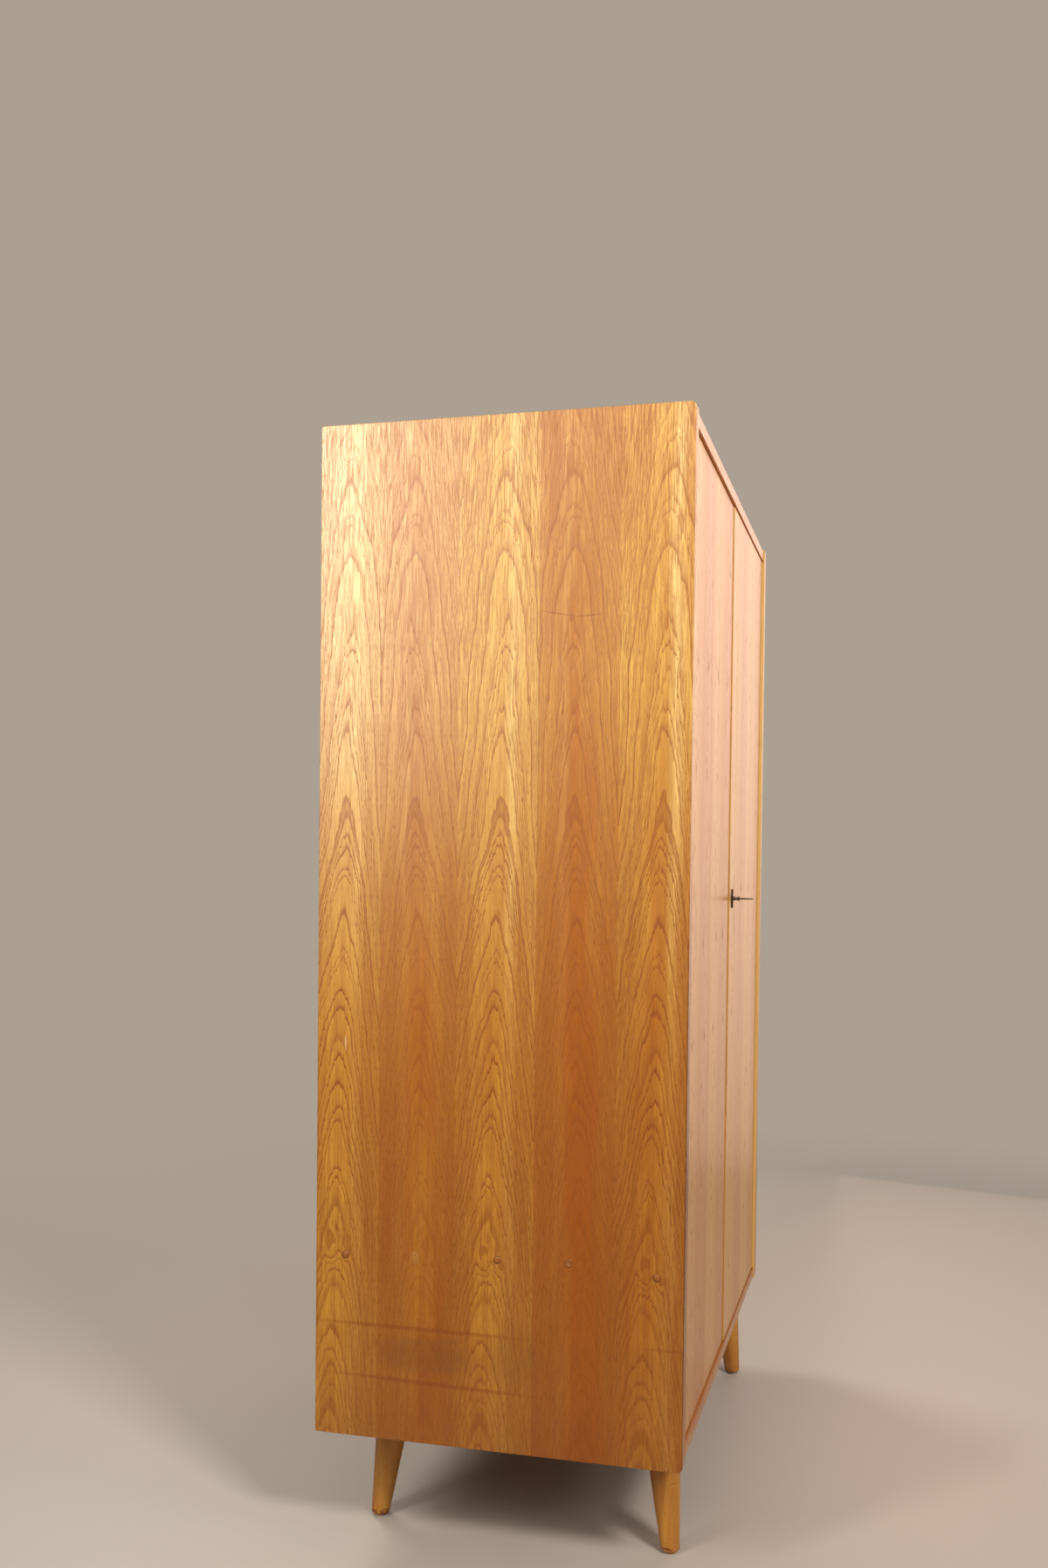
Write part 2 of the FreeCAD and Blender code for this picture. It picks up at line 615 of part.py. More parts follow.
def add_lock():
    """Lock let into the back of the right door: cased, with the bolt sliding on a stump below the key."""
    plate_y = (RIGHT_BACK - LOCK_PLATE, RIGHT_BACK)
    case_y = (RIGHT_BACK - CASE_DEEP, RIGHT_BACK)
    case_x = (DOOR_EDGE, KEY_X + CASE_TAIL)
    case_z = (KEY_Z - CASE_DOWN, KEY_Z + CASE_UP)
    plate_z = (case_z[0] - LOCK_FLANGE, case_z[1] + LOCK_FLANGE)
    plate = block((case_x[0], case_x[1] + LOCK_FLANGE), plate_y, plate_z)
    forend = block((DOOR_EDGE, DOOR_EDGE + LOCK_PLATE), case_y, plate_z)
    case = block(case_x, case_y, case_z)
    carve("right_door", plate, forend, case)
    room_x = (case_x[0] + LOCK_PLATE, case_x[1] - CASE_WALL)
    room_z = (case_z[0] + CASE_WALL, case_z[1] - CASE_WALL)
    room = block(room_x, (case_y[0] - OVER, plate_y[0]), room_z)

    bolt_y = (plate_y[0] - BOLT_PLAY - BOLT_THICK, plate_y[0] - BOLT_PLAY)
    bolt_z = (KEY_Z - BOLT_DROP - BOLT_HIGH, KEY_Z - BOLT_DROP)
    bolt_x = (DOOR_EDGE + BOLT_SHY, KEY_X + BOLT_TAIL - BOLT_PLAY)
    bolt = block(bolt_x, bolt_y, bolt_z)
    forend_hole = pocket(block((DOOR_EDGE - OVER, bolt_x[1]), bolt_y, bolt_z), BOLT_PLAY)
    stump_x = KEY_X + STUMP_FROM_KEY
    stump_z = bolt_z[0] + (BOLT_HIGH - TALON_DEEP) / 2
    stump_ends = V(stump_x, plate_y[0] + TOUCH, stump_z), V(stump_x, bolt_y[0], stump_z)
    drill_ends = V(KEY_X, plate_y[0] + TOUCH, KEY_Z), V(KEY_X, RIGHT_FACE, KEY_Z)
    talon_x = (KEY_X + TALON_FROM, KEY_X + TALON_TO)
    bolt = bolt.cut(block(talon_x, bolt_y, (bolt_z[1] - TALON_DEEP, bolt_z[1])))
    slot_r = STUMP_R + BOLT_PLAY
    slot_x = (stump_x - slot_r, stump_x + BOLT_THROW + slot_r)
    slot = rounded_plate(slot_x, bolt_y, around(stump_z, 2 * slot_r), Y_AXIS, slot_r - TOUCH)
    pieces["lock_bolt"] = bolt.cut(slot)

    shell = case.cut(room).fuse([plate, forend]).cut(forend_hole.common(forend))
    pins = [rod(*stump_ends, STUMP_R), rod(*drill_ends, DRILL_PIN_R)]
    pieces["lock_case"] = shell.fuse(pins).removeSplitter()
    cap = block(room_x, (case_y[0], case_y[0] + CASE_WALL), room_z)
    pieces["lock_cap"] = cap.cut(keyhole((case_y[0] - OVER, case_y[0] + CASE_WALL + OVER), KEY_PLAY))
    carve("right_door", keyhole((RIGHT_FACE - OVER, case_y[0] + OVER), KEY_PLAY))
    screws = []
    for x in (case_x[0] + LOCK_FLANGE, case_x[1] + LOCK_FLANGE / 2):
        for z in (plate_z[0] + LOCK_FLANGE / 2, plate_z[1] - LOCK_FLANGE / 2):
            point = V(x, RIGHT_BACK, z)
            screws.append(screw(point, -Y_AXIS, LOCK_SCREW_LONG, "lock_case", "right_door"))
    pieces["lock_screws"] = Part.makeCompound(screws)

    strike_y = around(sum(bolt_y) / 2, STRIKE_WIDE)
    strike_z = around(sum(bolt_z) / 2, STRIKE_HIGH)
    strike_x = (-DOOR_EDGE - LOCK_PLATE, -DOOR_EDGE)
    strike = rounded_plate(strike_x, strike_y, strike_z, X_AXIS, STRIKE_R)
    carve("left_door", strike)
    mortise_y = (bolt_y[0] - 2 * BOLT_PLAY, bolt_y[1] + 2 * BOLT_PLAY)
    mortise_z = (bolt_z[0] - 2 * BOLT_PLAY, bolt_z[1] + 2 * BOLT_PLAY)
    mortise = block((-DOOR_EDGE - STRIKE_MORTISE, -DOOR_EDGE + OVER), mortise_y, mortise_z)
    carve("left_door", mortise)
    pieces["strike_plate"] = strike.cut(mortise)
    screws = []
    for off in (-STRIKE_SCREW_OFF, STRIKE_SCREW_OFF):
        point = V(-DOOR_EDGE, sum(strike_y) / 2, sum(strike_z) / 2 + off)
        screws.append(screw(point, -X_AXIS, STRIKE_SCREW_LONG, "strike_plate", "left_door"))
    pieces["strike_screws"] = Part.makeCompound(screws)
    return bolt_y


def add_escutcheon():
    """Slim oval escutcheon with a domed face, on two round pins."""
    face = RIGHT_FACE - ESCUTCHEON_THICK
    oval = Part.Ellipse(V(0, 0, 0), ESCUTCHEON_HIGH / 2, ESCUTCHEON_WIDE / 2).toShape()
    oval.Placement = FreeCAD.Placement(
        V(KEY_X, RIGHT_FACE, KEY_Z), FreeCAD.Rotation(Z_AXIS, X_AXIS, -Y_AXIS, "XYZ")
    )
    plate = Part.Face(Part.Wire(oval)).extrude(V(0, -ESCUTCHEON_THICK, 0))
    plate = eased(plate, ESCUTCHEON_DOME, dict(y=face))
    pieces["escutcheon"] = plate.cut(keyhole((face - OVER, RIGHT_FACE + OVER), KEY_PLAY))
    pins = []
    for off in (-ESCUTCHEON_PIN_OFF, ESCUTCHEON_PIN_OFF):
        head = V(KEY_X, face - ESCUTCHEON_PIN_PROUD, KEY_Z + off)
        tip = head + Y_AXIS * ESCUTCHEON_PIN_LONG
        pins.append(rod(head, tip, ESCUTCHEON_PIN_R))
        for host in ("escutcheon", "right_door"):
            carve(host, hole(head, tip, ESCUTCHEON_PIN_R))
    pieces["escutcheon_pins"] = Part.makeCompound(pins)


def add_key(bolt_y):
    """Pipe key at rest with its bow level: oval ring, beaded collar, bored shaft and bit."""
    collar_y = RIGHT_FACE - ESCUTCHEON_THICK - KEY_COLLAR_GAP
    tip_y = RIGHT_FACE - KEY_REACH
    shaft_end = V(KEY_X, bolt_y[1], KEY_Z)
    beads = [(0, 0), (KEY_BEAD_R, 0), (KEY_BEAD_R, KEY_BEAD), (KEY_NECK_R, KEY_BEAD)]
    beads += [(KEY_NECK_R, KEY_COLLAR - KEY_BEAD), (KEY_BEAD_R, KEY_COLLAR - KEY_BEAD)]
    beads += [(KEY_BEAD_R, KEY_COLLAR), (0, KEY_COLLAR)]
    collar = turned(beads, V(KEY_X, collar_y, KEY_Z), -Y_AXIS)
    shaft = rod(V(KEY_X, collar_y - KEY_BEAD, KEY_Z), shaft_end, KEY_SHAFT_R)

    bow_long = collar_y - KEY_COLLAR - tip_y + KEY_BEAD
    middle = V(KEY_X, tip_y + bow_long / 2, KEY_Z - BOW_THICK / 2)
    major, minor = span(bow_long / 2, BOW_WIDE / 2)[::-1]
    outer = Part.Ellipse(V(0, 0, 0), major, minor).toShape()
    inner = Part.Ellipse(V(0, 0, 0), major - BOW_RIM, minor - BOW_RIM).toShape()
    bow = Part.Face(Part.Wire(outer)).cut(Part.Face(Part.Wire(inner))).extrude(Z_AXIS * BOW_THICK)
    turn = 90 if bow_long > BOW_WIDE else 0
    bow.Placement = FreeCAD.Placement(middle, FreeCAD.Rotation(Z_AXIS, turn))
    low_z = KEY_Z - BOW_THICK / 2
    bow = eased(bow, BOW_EASE, dict(z=low_z), dict(z=low_z + BOW_THICK))

    bit_y = (bolt_y[0] + BIT_PLAY, bolt_y[1] - BIT_PLAY)
    bit = block((KEY_X, KEY_X + BIT_REACH), bit_y, around(KEY_Z, BIT_THICK))
    bore = hole(V(KEY_X, RIGHT_FACE, KEY_Z), shaft_end, DRILL_PIN_R)
    pieces["key"] = collar.fuse([shaft, bow, bit]).cut(bore).removeSplitter()


def add_slide_bolts():
    """Slide bolts on the back of the left door, one up and one down, with keepers in the panels."""
    x = -DOOR_EDGE - SLIDE_FROM_SEAM
    plate_y = (LEFT_BACK, LEFT_BACK + SLIDE_PLATE_THICK)
    bar_y = (plate_y[1] + SLIDE_PLAY, plate_y[1] + SLIDE_PLAY + SLIDE_BAR_THICK)
    bridge_y = (plate_y[0], bar_y[1] + SLIDE_PLAY + SLIDE_BRIDGE_WALL)
    bridge_wide = SLIDE_BAR_WIDE + 2 * SLIDE_PLAY + 2 * SLIDE_BRIDGE_WALL
    door_screws, keepers, keeper_screws = [], [], []
    for end, up, edge, panel_face, host in (
        ("upper", 1, DOOR_HIGH, Z_CEILING, "top_panel"),
        ("lower", -1, DOOR_LOW, Z_FLOOR, "bottom_panel"),
    ):
        plate_name = "%s_bolt_plate" % end
        near = edge - up * SLIDE_PLATE_INSET
        far = near - up * SLIDE_PLATE_LONG
        plate = block(around(x, SLIDE_PLATE_WIDE), plate_y, span(near, far))
        bar_end = edge - up * SLIDE_BAR_SHY
        bar_tail = bar_end - up * SLIDE_BAR_LONG
        bar = block(around(x, SLIDE_BAR_WIDE), bar_y, span(bar_end, bar_tail))
        for from_near in SLIDE_BRIDGES:
            bridge_z = around(near - up * from_near, SLIDE_BRIDGE)
            plate = plate.fuse(block(around(x, bridge_wide), bridge_y, bridge_z))
        run = block(
            around(x, SLIDE_BAR_WIDE + 2 * SLIDE_PLAY),
            (plate_y[1], bar_y[1] + SLIDE_PLAY),
            span(near + up * OVER, far - up * OVER),
        )
        pieces[plate_name] = plate.cut(run).removeSplitter()

        knob_z = near - up * SLIDE_KNOB_FROM
        neck_end = V(x, bridge_y[1], knob_z)
        knob_end = neck_end + Y_AXIS * SLIDE_KNOB_HIGH
        neck = rod(V(x, bar_y[0] + SLIDE_PLAY, knob_z), knob_end, SLIDE_KNOB_NECK_R)
        knob = eased(rod(neck_end, knob_end, SLIDE_KNOB_R), SLIDE_KNOB_EASE, dict(y=knob_end.y))
        pieces["%s_slide_bolt" % end] = bar.fuse([neck, knob]).removeSplitter()

        screw_gap = (SLIDE_BRIDGES[0] + SLIDE_BRIDGES[1]) / 2
        for screw_x in around(x, (SLIDE_PLATE_WIDE + bridge_wide) / 2 + SLIDE_PLAY):
            for z in (near - up * screw_gap, far + up * SLIDE_BRIDGE / 2):
                point = V(screw_x, plate_y[1], z)
                door_screws.append(screw(point, -Y_AXIS, SLIDE_SCREW_LONG, plate_name, "left_door"))

        keeper_z = span(panel_face, panel_face + up * KEEPER_THICK)
        keeper_y = around(sum(bar_y) / 2, KEEPER_WIDE)
        keeper = rounded_plate(around(x, KEEPER_LONG), keeper_y, keeper_z, Z_AXIS, KEEPER_R)
        carve(host, keeper)
        reach = edge + up * (SLIDE_TRAVEL - SLIDE_BAR_SHY + KEEPER_PLAY)
        socket = block(
            around(x, SLIDE_BAR_WIDE + 2 * KEEPER_PLAY),
            (bar_y[0] - KEEPER_PLAY, bar_y[1] + KEEPER_PLAY),
            span(panel_face - up * OVER, reach),
        )
        carve(host, socket)
        keepers.append(keeper.cut(socket))
        for off in (-KEEPER_SCREW_OFF, KEEPER_SCREW_OFF):
            point = V(x + off, sum(keeper_y) / 2, panel_face)
            keeper_screws.append(screw(point, Z_AXIS * up, KEEPER_SCREW_LONG, "bolt_keepers", host))
    pieces["bolt_keepers"] = Part.makeCompound(keepers)
    pieces["slide_bolt_screws"] = Part.makeCompound(door_screws)
    pieces["keeper_screws"] = Part.makeCompound(keeper_screws)


def export_pieces():
    """Cut the noted holes and write each piece to its own file."""
    os.makedirs("parts", exist_ok=True)
    for name, shape in pieces.items():
        if name in cutters:
            shape = shape.cut(cutters[name])
        shape.exportStep("parts/%s.step" % name)
        print(name, len(shape.Solids), "solids", "valid" if shape.isValid() else "not valid")


add_side_panels()
add_top_and_bottom()
add_back()
add_partition_and_shelves()
add_hat_shelf()
add_linen_shelves()
add_hanging_rail()
add_legs()
add_doors()
add_pivots()
add_door_stops()
lock_bolt_y = add_lock()
add_escutcheon()
add_key(lock_bolt_y)
add_slide_bolts()
export_pieces()
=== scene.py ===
import math

import bmesh
import bpy
from mathutils import Matrix, Vector


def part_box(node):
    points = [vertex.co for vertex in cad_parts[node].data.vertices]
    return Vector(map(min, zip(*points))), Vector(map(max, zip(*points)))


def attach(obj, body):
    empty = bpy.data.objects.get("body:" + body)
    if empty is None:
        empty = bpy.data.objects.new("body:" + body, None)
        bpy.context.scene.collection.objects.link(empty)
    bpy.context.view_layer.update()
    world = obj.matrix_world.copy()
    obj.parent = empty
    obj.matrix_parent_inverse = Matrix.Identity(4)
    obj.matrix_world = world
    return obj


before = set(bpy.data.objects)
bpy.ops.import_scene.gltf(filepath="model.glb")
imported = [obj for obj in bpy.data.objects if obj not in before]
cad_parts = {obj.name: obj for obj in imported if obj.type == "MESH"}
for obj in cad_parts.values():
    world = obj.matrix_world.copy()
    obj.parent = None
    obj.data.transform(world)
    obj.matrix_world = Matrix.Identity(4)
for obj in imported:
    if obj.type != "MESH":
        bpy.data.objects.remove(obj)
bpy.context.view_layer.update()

# Side panels
# Thick board faced with satin-lacquered oak veneer: five leaves from one log, every second one turned
# over and so mirrored; its duller sheen is painted in as a redder, darker tone. The sides stand outside
# the top and bottom, glued to them on tongues.

MM = 1000.0
X, Y, Z = range(3)


def linear(hex_colour):
    """Turn an sRGB hex colour into linear RGBA."""
    channels = [int(hex_colour[i:i + 2], 16) / 255 for i in (1, 3, 5)]
    return [c / 12.92 if c <= 0.04045 else ((c + 0.055) / 1.055) ** 2.4 for c in channels] + [1.0]


def add_node(tree, kind, inputs, stops=(), **settings):
    """Add a node with its settings, and fill its inputs with values, sockets or nodes' first outputs."""
    node = tree.nodes.new(kind)
    for name, value in settings.items():
        setattr(node, name, value)
    for index, (position, grey) in enumerate(stops):
        element = node.color_ramp.elements[index] if index < 2 else node.color_ramp.elements.new(position)
        element.position = position
        element.color = (grey, grey, grey, 1.0)
    for socket, value in inputs.items():
        value = value.outputs[0] if isinstance(value, bpy.types.Node) else value
        if isinstance(value, bpy.types.NodeSocket):
            tree.links.new(value, node.inputs[socket])
        else:
            node.inputs[socket].default_value = value
    return node


def start_material(name, **constants):
    """New material with one principled shader, whose constant sockets are set by name."""
    material = bpy.data.materials.new(name)
    material.use_nodes = True
    tree = material.node_tree
    shader = tree.nodes["Principled BSDF"]
    for socket, value in constants.items():
        shader.inputs[socket.replace("_", " ")].default_value = value
    return material, tree, shader


def place_in_mm(tree):
    """Place on the piece in millimetres, as separate X, Y and Z; it stays with the piece as that moves."""
    coordinates = tree.nodes.new("ShaderNodeTexCoord").outputs["Object"]
    millimetres = add_node(tree, "ShaderNodeVectorMath", {0: coordinates, "Scale": MM}, operation="SCALE")
    return add_node(tree, "ShaderNodeSeparateXYZ", {0: millimetres}).outputs


def streaks(tree, place, width, length, detail=2.0):
    """Cloudy streaks, sized in millimetres, that run along the second coordinate of the place."""
    scaled = add_node(
        tree, "ShaderNodeVectorMath", {0: place, 1: (1 / width, 1 / length, 1.0)}, operation="MULTIPLY"
    )
    return add_node(tree, "ShaderNodeTexNoise", {"Vector": scaled, "Scale": 1.0, "Detail": detail})


def soft_spot(tree, across, along, spot):
    """Mask of an oval mark: centre and half sizes in millimetres, lean of its long axis, and strength."""
    middle_across, middle_along, half_across, half_along, lean, strength = spot
    off_across = add_node(tree, "ShaderNodeMath", {0: across, 1: middle_across}, operation="SUBTRACT")
    level = add_node(
        tree, "ShaderNodeMath", {0: off_across, 1: -lean, 2: -middle_along}, operation="MULTIPLY_ADD"
    )
    off_along = add_node(tree, "ShaderNodeMath", {0: along, 1: level}, operation="ADD")
    offset = add_node(tree, "ShaderNodeCombineXYZ", {0: off_across, 1: off_along})
    scaled = add_node(
        tree, "ShaderNodeVectorMath", {0: offset, 1: (1 / half_across, 1 / half_along, 0)},
        operation="MULTIPLY",
    )
    distance = add_node(tree, "ShaderNodeVectorMath", {0: scaled}, operation="LENGTH").outputs["Value"]
    return add_node(
        tree, "ShaderNodeMapRange",
        {"Value": distance, "From Min": 0.3, "From Max": 1.0, "To Min": strength, "To Max": 0.0},
        interpolation_type="SMOOTHSTEP",
    )


# Figure of the veneer, in millimetres: width of a leaf, growth rings and the arches that they draw
LEAF = 128.0
LEAF_CHANGE = 0.12
RING_PITCH = 38.0
RING_DRIFT = 60.0
RAGGED_FIBRES = 20.0
ARCH_STEEPNESS = 2.8
ARCH_ROUNDNESS = 9.0
FLANK_STEEPENING = 0.035
FLANK_START = 14.0
FLANK_END = 42.0
TONGUE_START = 1160.0
TONGUE_END = 1560.0
TONGUE_STRETCH = 0.48
WAVER = 5.0
FIGURE_MIDDLE = 46.0
FIGURE_LEAN = 0.0207
FIGURE_SWAY = 30.0

# Heights above the floor, in millimetres, between which the look of the wood changes
# Between the first two heights the painted sheen of the upper part gives way to the painted shade of the
# lower part
PAINTED_SHEEN_FROM = 700.0
PAINTED_SHEEN_TO = 1500.0
FAINT_FROM = 1350.0
FAINT_TO = 1700.0
GRAINY_FROM = 1150.0
GRAINY_TO = 1700.0
WORN_FROM = 250.0
WORN_TO = 600.0

# Depth of an open pore, in metres
PORE_DEPTH = 0.0002


def oak_veneer(
    name, across, along, over, face, first_joint, log_start, drift, contrast,
    knot=(), marks=(), under=(), ends=(),
):
    """Book-matched oak under satin lacquer: bold figure, dark pores, and a shine that the pores break up.

    The axes across and along the grain and through the board are indices; face, joint and place in the
    log are millimetres; drift is the change of tone from leaf to leaf, and contrast that of the figure.
    """
    material, tree, shader = start_material(name, IOR=1.5, Specular_IOR_Level=0.5)
    axes = place_in_mm(tree)
    figure = 0.3 + 0.7 * contrast
    quietness = 1.0 - contrast
    # The leaf turns over the panel's edge, so the edge shows its grain too
    inward = add_node(tree, "ShaderNodeMath", {0: axes[over]}, operation="ABSOLUTE")
    unrolled = add_node(tree, "ShaderNodeMath", {0: axes[across], 1: inward}, operation="SUBTRACT")
    from_joint = add_node(tree, "ShaderNodeMath", {0: first_joint - face, 1: unrolled}, operation="SUBTRACT")
    leaves = add_node(tree, "ShaderNodeMath", {0: from_joint, 1: LEAF}, operation="DIVIDE")
    leaf = add_node(tree, "ShaderNodeMath", {0: leaves}, operation="FLOOR")
    turned = add_node(tree, "ShaderNodeMath", {0: leaf, 1: 2.0}, operation="MODULO")
    matched = add_node(tree, "ShaderNodeMath", {0: from_joint, 1: LEAF}, operation="PINGPONG")
    height = add_node(tree, "ShaderNodeMath", {0: axes[along], 1: log_start}, operation="ADD")
    held_back = add_node(
        tree, "ShaderNodeMapRange",
        {"Value": axes[along], "From Min": TONGUE_START, "From Max": TONGUE_END,
         "To Max": TONGUE_STRETCH * (TONGUE_END - TONGUE_START)},
    )
    grown = add_node(tree, "ShaderNodeMath", {0: height, 1: held_back}, operation="SUBTRACT")
    change = add_node(tree, "ShaderNodeMath", {0: leaf, 1: LEAF_CHANGE}, operation="MULTIPLY")
    place = add_node(tree, "ShaderNodeCombineXYZ", {0: matched, 1: height, 2: change})
    waver = streaks(tree, place, width=60.0, length=90.0)
    waver = add_node(tree, "ShaderNodeMath", {0: waver, 1: WAVER, 2: matched}, operation="MULTIPLY_ADD")
    place = add_node(tree, "ShaderNodeCombineXYZ", {0: waver, 1: height, 2: change})

    # Arches of the growth rings, steep at the leaf's edges, with an uneven pitch and ragged fibres
    centre = add_node(
        tree, "ShaderNodeMath", {0: axes[along], 1: FIGURE_LEAN, 2: FIGURE_MIDDLE}, operation="MULTIPLY_ADD"
    )
    sway = streaks(tree, place, width=90.0, length=300.0)
    middle = add_node(
        tree, "ShaderNodeMath", {0: sway, 1: FIGURE_SWAY, 2: -FIGURE_SWAY / 2}, operation="MULTIPLY_ADD"
    )
    beside = add_node(tree, "ShaderNodeMath", {0: waver, 1: centre}, operation="SUBTRACT")
    beside = add_node(tree, "ShaderNodeMath", {0: beside, 1: middle}, operation="ADD")
    squared = add_node(
        tree, "ShaderNodeMath", {0: beside, 1: beside, 2: ARCH_ROUNDNESS ** 2}, operation="MULTIPLY_ADD"
    )
    drop = add_node(tree, "ShaderNodeMath", {0: squared}, operation="SQRT")
    arch = add_node(tree, "ShaderNodeMath", {0: drop, 1: ARCH_STEEPNESS, 2: grown}, operation="MULTIPLY_ADD")
    arch = add_node(
        tree, "ShaderNodeMath", {0: squared, 1: FLANK_STEEPENING, 2: arch}, operation="MULTIPLY_ADD"
    )
    uneven = streaks(tree, place, width=34.0, length=110.0)
    arch = add_node(tree, "ShaderNodeMath", {0: uneven, 1: RING_DRIFT, 2: arch}, operation="MULTIPLY_ADD")
    for spot in knot:
        pushed = soft_spot(tree, matched, axes[along], spot)
        arch = add_node(tree, "ShaderNodeMath", {0: arch, 1: pushed}, operation="ADD")
    fibre = streaks(tree, place, width=2.4, length=34.0)
    ragged = add_node(tree, "ShaderNodeMath", {0: fibre, 1: RAGGED_FIBRES, 2: arch}, operation="MULTIPLY_ADD")
    seasons = add_node(tree, "ShaderNodeMath", {0: ragged, 1: RING_PITCH}, operation="DIVIDE")
    pitch = add_node(
        tree, "ShaderNodeTexNoise", {"W": seasons, "Scale": 0.42, "Detail": 1.0}, noise_dimensions="1D"
    )
    phase = add_node(tree, "ShaderNodeMath", {0: pitch, 1: 3.0, 2: seasons}, operation="MULTIPLY_ADD")
    growth = add_node(tree, "ShaderNodeMath", {0: phase}, operation="FRACT")
    ring = add_node(
        tree, "ShaderNodeValToRGB", {0: growth},
        stops=((0.0, 1.0), (1.0, 0.8), (0.09, 0.85), (0.2, 0.35), (0.5, 0.08), (0.93, 0.0)),
    )
    vigour = add_node(
        tree, "ShaderNodeTexNoise", {"W": phase, "Scale": 0.9, "Detail": 0.0}, noise_dimensions="1D"
    )
    strength = add_node(
        tree, "ShaderNodeMapRange",
        {"Value": vigour, "From Min": 0.3, "From Max": 0.62, "To Min": 0.5, "To Max": 1.0},
    )

    # Painted sheen: the upper part, where the rings are fainter, has its ground painted paler for the
    # lacquer's shine
    painted_sheen_height = add_node(
        tree, "ShaderNodeMapRange",
        {"Value": axes[along], "From Min": PAINTED_SHEEN_FROM, "From Max": PAINTED_SHEEN_TO},
        interpolation_type="SMOOTHSTEP",
    )
    quiet = add_node(tree, "ShaderNodeMath", {0: painted_sheen_height, 1: 0.45, 2: -0.5}, operation="MULTIPLY_ADD")
    dull = add_node(tree, "ShaderNodeMath", {0: turned, 1: quiet, 2: 1.0}, operation="MULTIPLY_ADD")
    fainter = add_node(
        tree, "ShaderNodeMapRange",
        {"Value": axes[along], "From Min": FAINT_FROM, "From Max": FAINT_TO, "To Min": 1.0, "To Max": 0.65},
    )
    ring_mask = add_node(tree, "ShaderNodeMath", {0: ring, 1: strength}, operation="MULTIPLY")
    ring_mask = add_node(tree, "ShaderNodeMath", {0: ring_mask, 1: dull}, operation="MULTIPLY")
    lower = add_node(
        tree, "ShaderNodeMapRange",
        {"Value": axes[along], "From Min": WORN_FROM, "From Max": WORN_TO, "To Min": 0.55, "To Max": 1.0},
    )
    fainter = add_node(tree, "ShaderNodeMath", {0: fainter, 1: lower}, operation="MULTIPLY")
    ring_mask = add_node(tree, "ShaderNodeMath", {0: ring_mask, 1: fainter}, operation="MULTIPLY")
    ring_mask = add_node(tree, "ShaderNodeMath", {0: ring_mask, 1: figure}, operation="MULTIPLY")

    # The flanks of the figure, where the rings stand steep and close together
    aside = add_node(tree, "ShaderNodeMath", {0: beside}, operation="ABSOLUTE")
    flank = add_node(
        tree, "ShaderNodeMapRange", {"Value": aside, "From Min": FLANK_START, "From Max": FLANK_END},
        interpolation_type="SMOOTHSTEP",
    )
    inner = add_node(tree, "ShaderNodeMath", {0: 1.0, 1: flank}, operation="SUBTRACT")

    # Open pores, drawn about three times too coarse so that they show, crowd in each ring's early wood
    pore_cloud = streaks(tree, place, width=1.0, length=11.0)
    pores = add_node(tree, "ShaderNodeMapRange", {"Value": pore_cloud, "From Min": 0.5, "From Max": 0.72})
    crowd = add_node(tree, "ShaderNodeMath", {0: flank, 1: 0.2, 2: 0.3}, operation="MULTIPLY_ADD")
    crowd = add_node(tree, "ShaderNodeMath", {0: ring_mask, 1: 0.4, 2: crowd}, operation="MULTIPLY_ADD")
    crowd = add_node(tree, "ShaderNodeMath", {0: crowd, 1: figure}, operation="MULTIPLY")
    pore_mask = add_node(tree, "ShaderNodeMath", {0: pores, 1: crowd}, operation="MULTIPLY")

    # Ground colour: yellow late wood, redder in the turned leaves and in clouds, painted paler at the top as
    # sheen
    cloud = streaks(tree, place, width=50.0, length=360.0, detail=3.0)
    # The turned leaves are painted redder and darker, standing in for their duller sheen
    warm = add_node(tree, "ShaderNodeMath", {0: turned, 1: 0.2 + 0.4 * contrast}, operation="MULTIPLY")
    warm = add_node(tree, "ShaderNodeMath", {0: leaf, 1: drift, 2: warm}, operation="MULTIPLY_ADD")
    clouded = add_node(
        tree, "ShaderNodeMapRange",
        {"Value": cloud, "From Min": 0.36, "From Max": 0.66,
         "To Min": -0.2 * contrast, "To Max": 0.3 * contrast},
    )
    warm = add_node(tree, "ShaderNodeMath", {0: painted_sheen_height, 1: -0.3 * contrast, 2: warm}, operation="MULTIPLY_ADD")
    warm = add_node(tree, "ShaderNodeMath", {0: warm, 1: clouded}, operation="ADD", use_clamp=True)
    late_wood = add_node(tree, "ShaderNodeMixRGB", {0: warm, 1: linear("#E2B85E"), 2: linear("#B46E22")})
    # Painted sheen: the upper part is painted paler
    painted_paling = add_node(
        tree, "ShaderNodeMath", {0: leaf, 1: -0.1 * contrast, 2: 0.42 * contrast}, operation="MULTIPLY_ADD",
        use_clamp=True,
    )
    painted_paling = add_node(tree, "ShaderNodeMath", {0: painted_sheen_height, 1: painted_paling}, operation="MULTIPLY")
    late_wood = add_node(tree, "ShaderNodeMixRGB", {0: painted_paling, 1: late_wood, 2: linear("#DCC492")})
    kept = add_node(
        tree, "ShaderNodeMath", {0: painted_sheen_height, 1: -0.4 * contrast, 2: 0.6 * contrast}, operation="MULTIPLY_ADD"
    )
    flank_share = add_node(tree, "ShaderNodeMath", {0: flank, 1: kept}, operation="MULTIPLY")
    late_wood = add_node(tree, "ShaderNodeMixRGB", {0: flank_share, 1: late_wood, 2: linear("#B27E3C")})

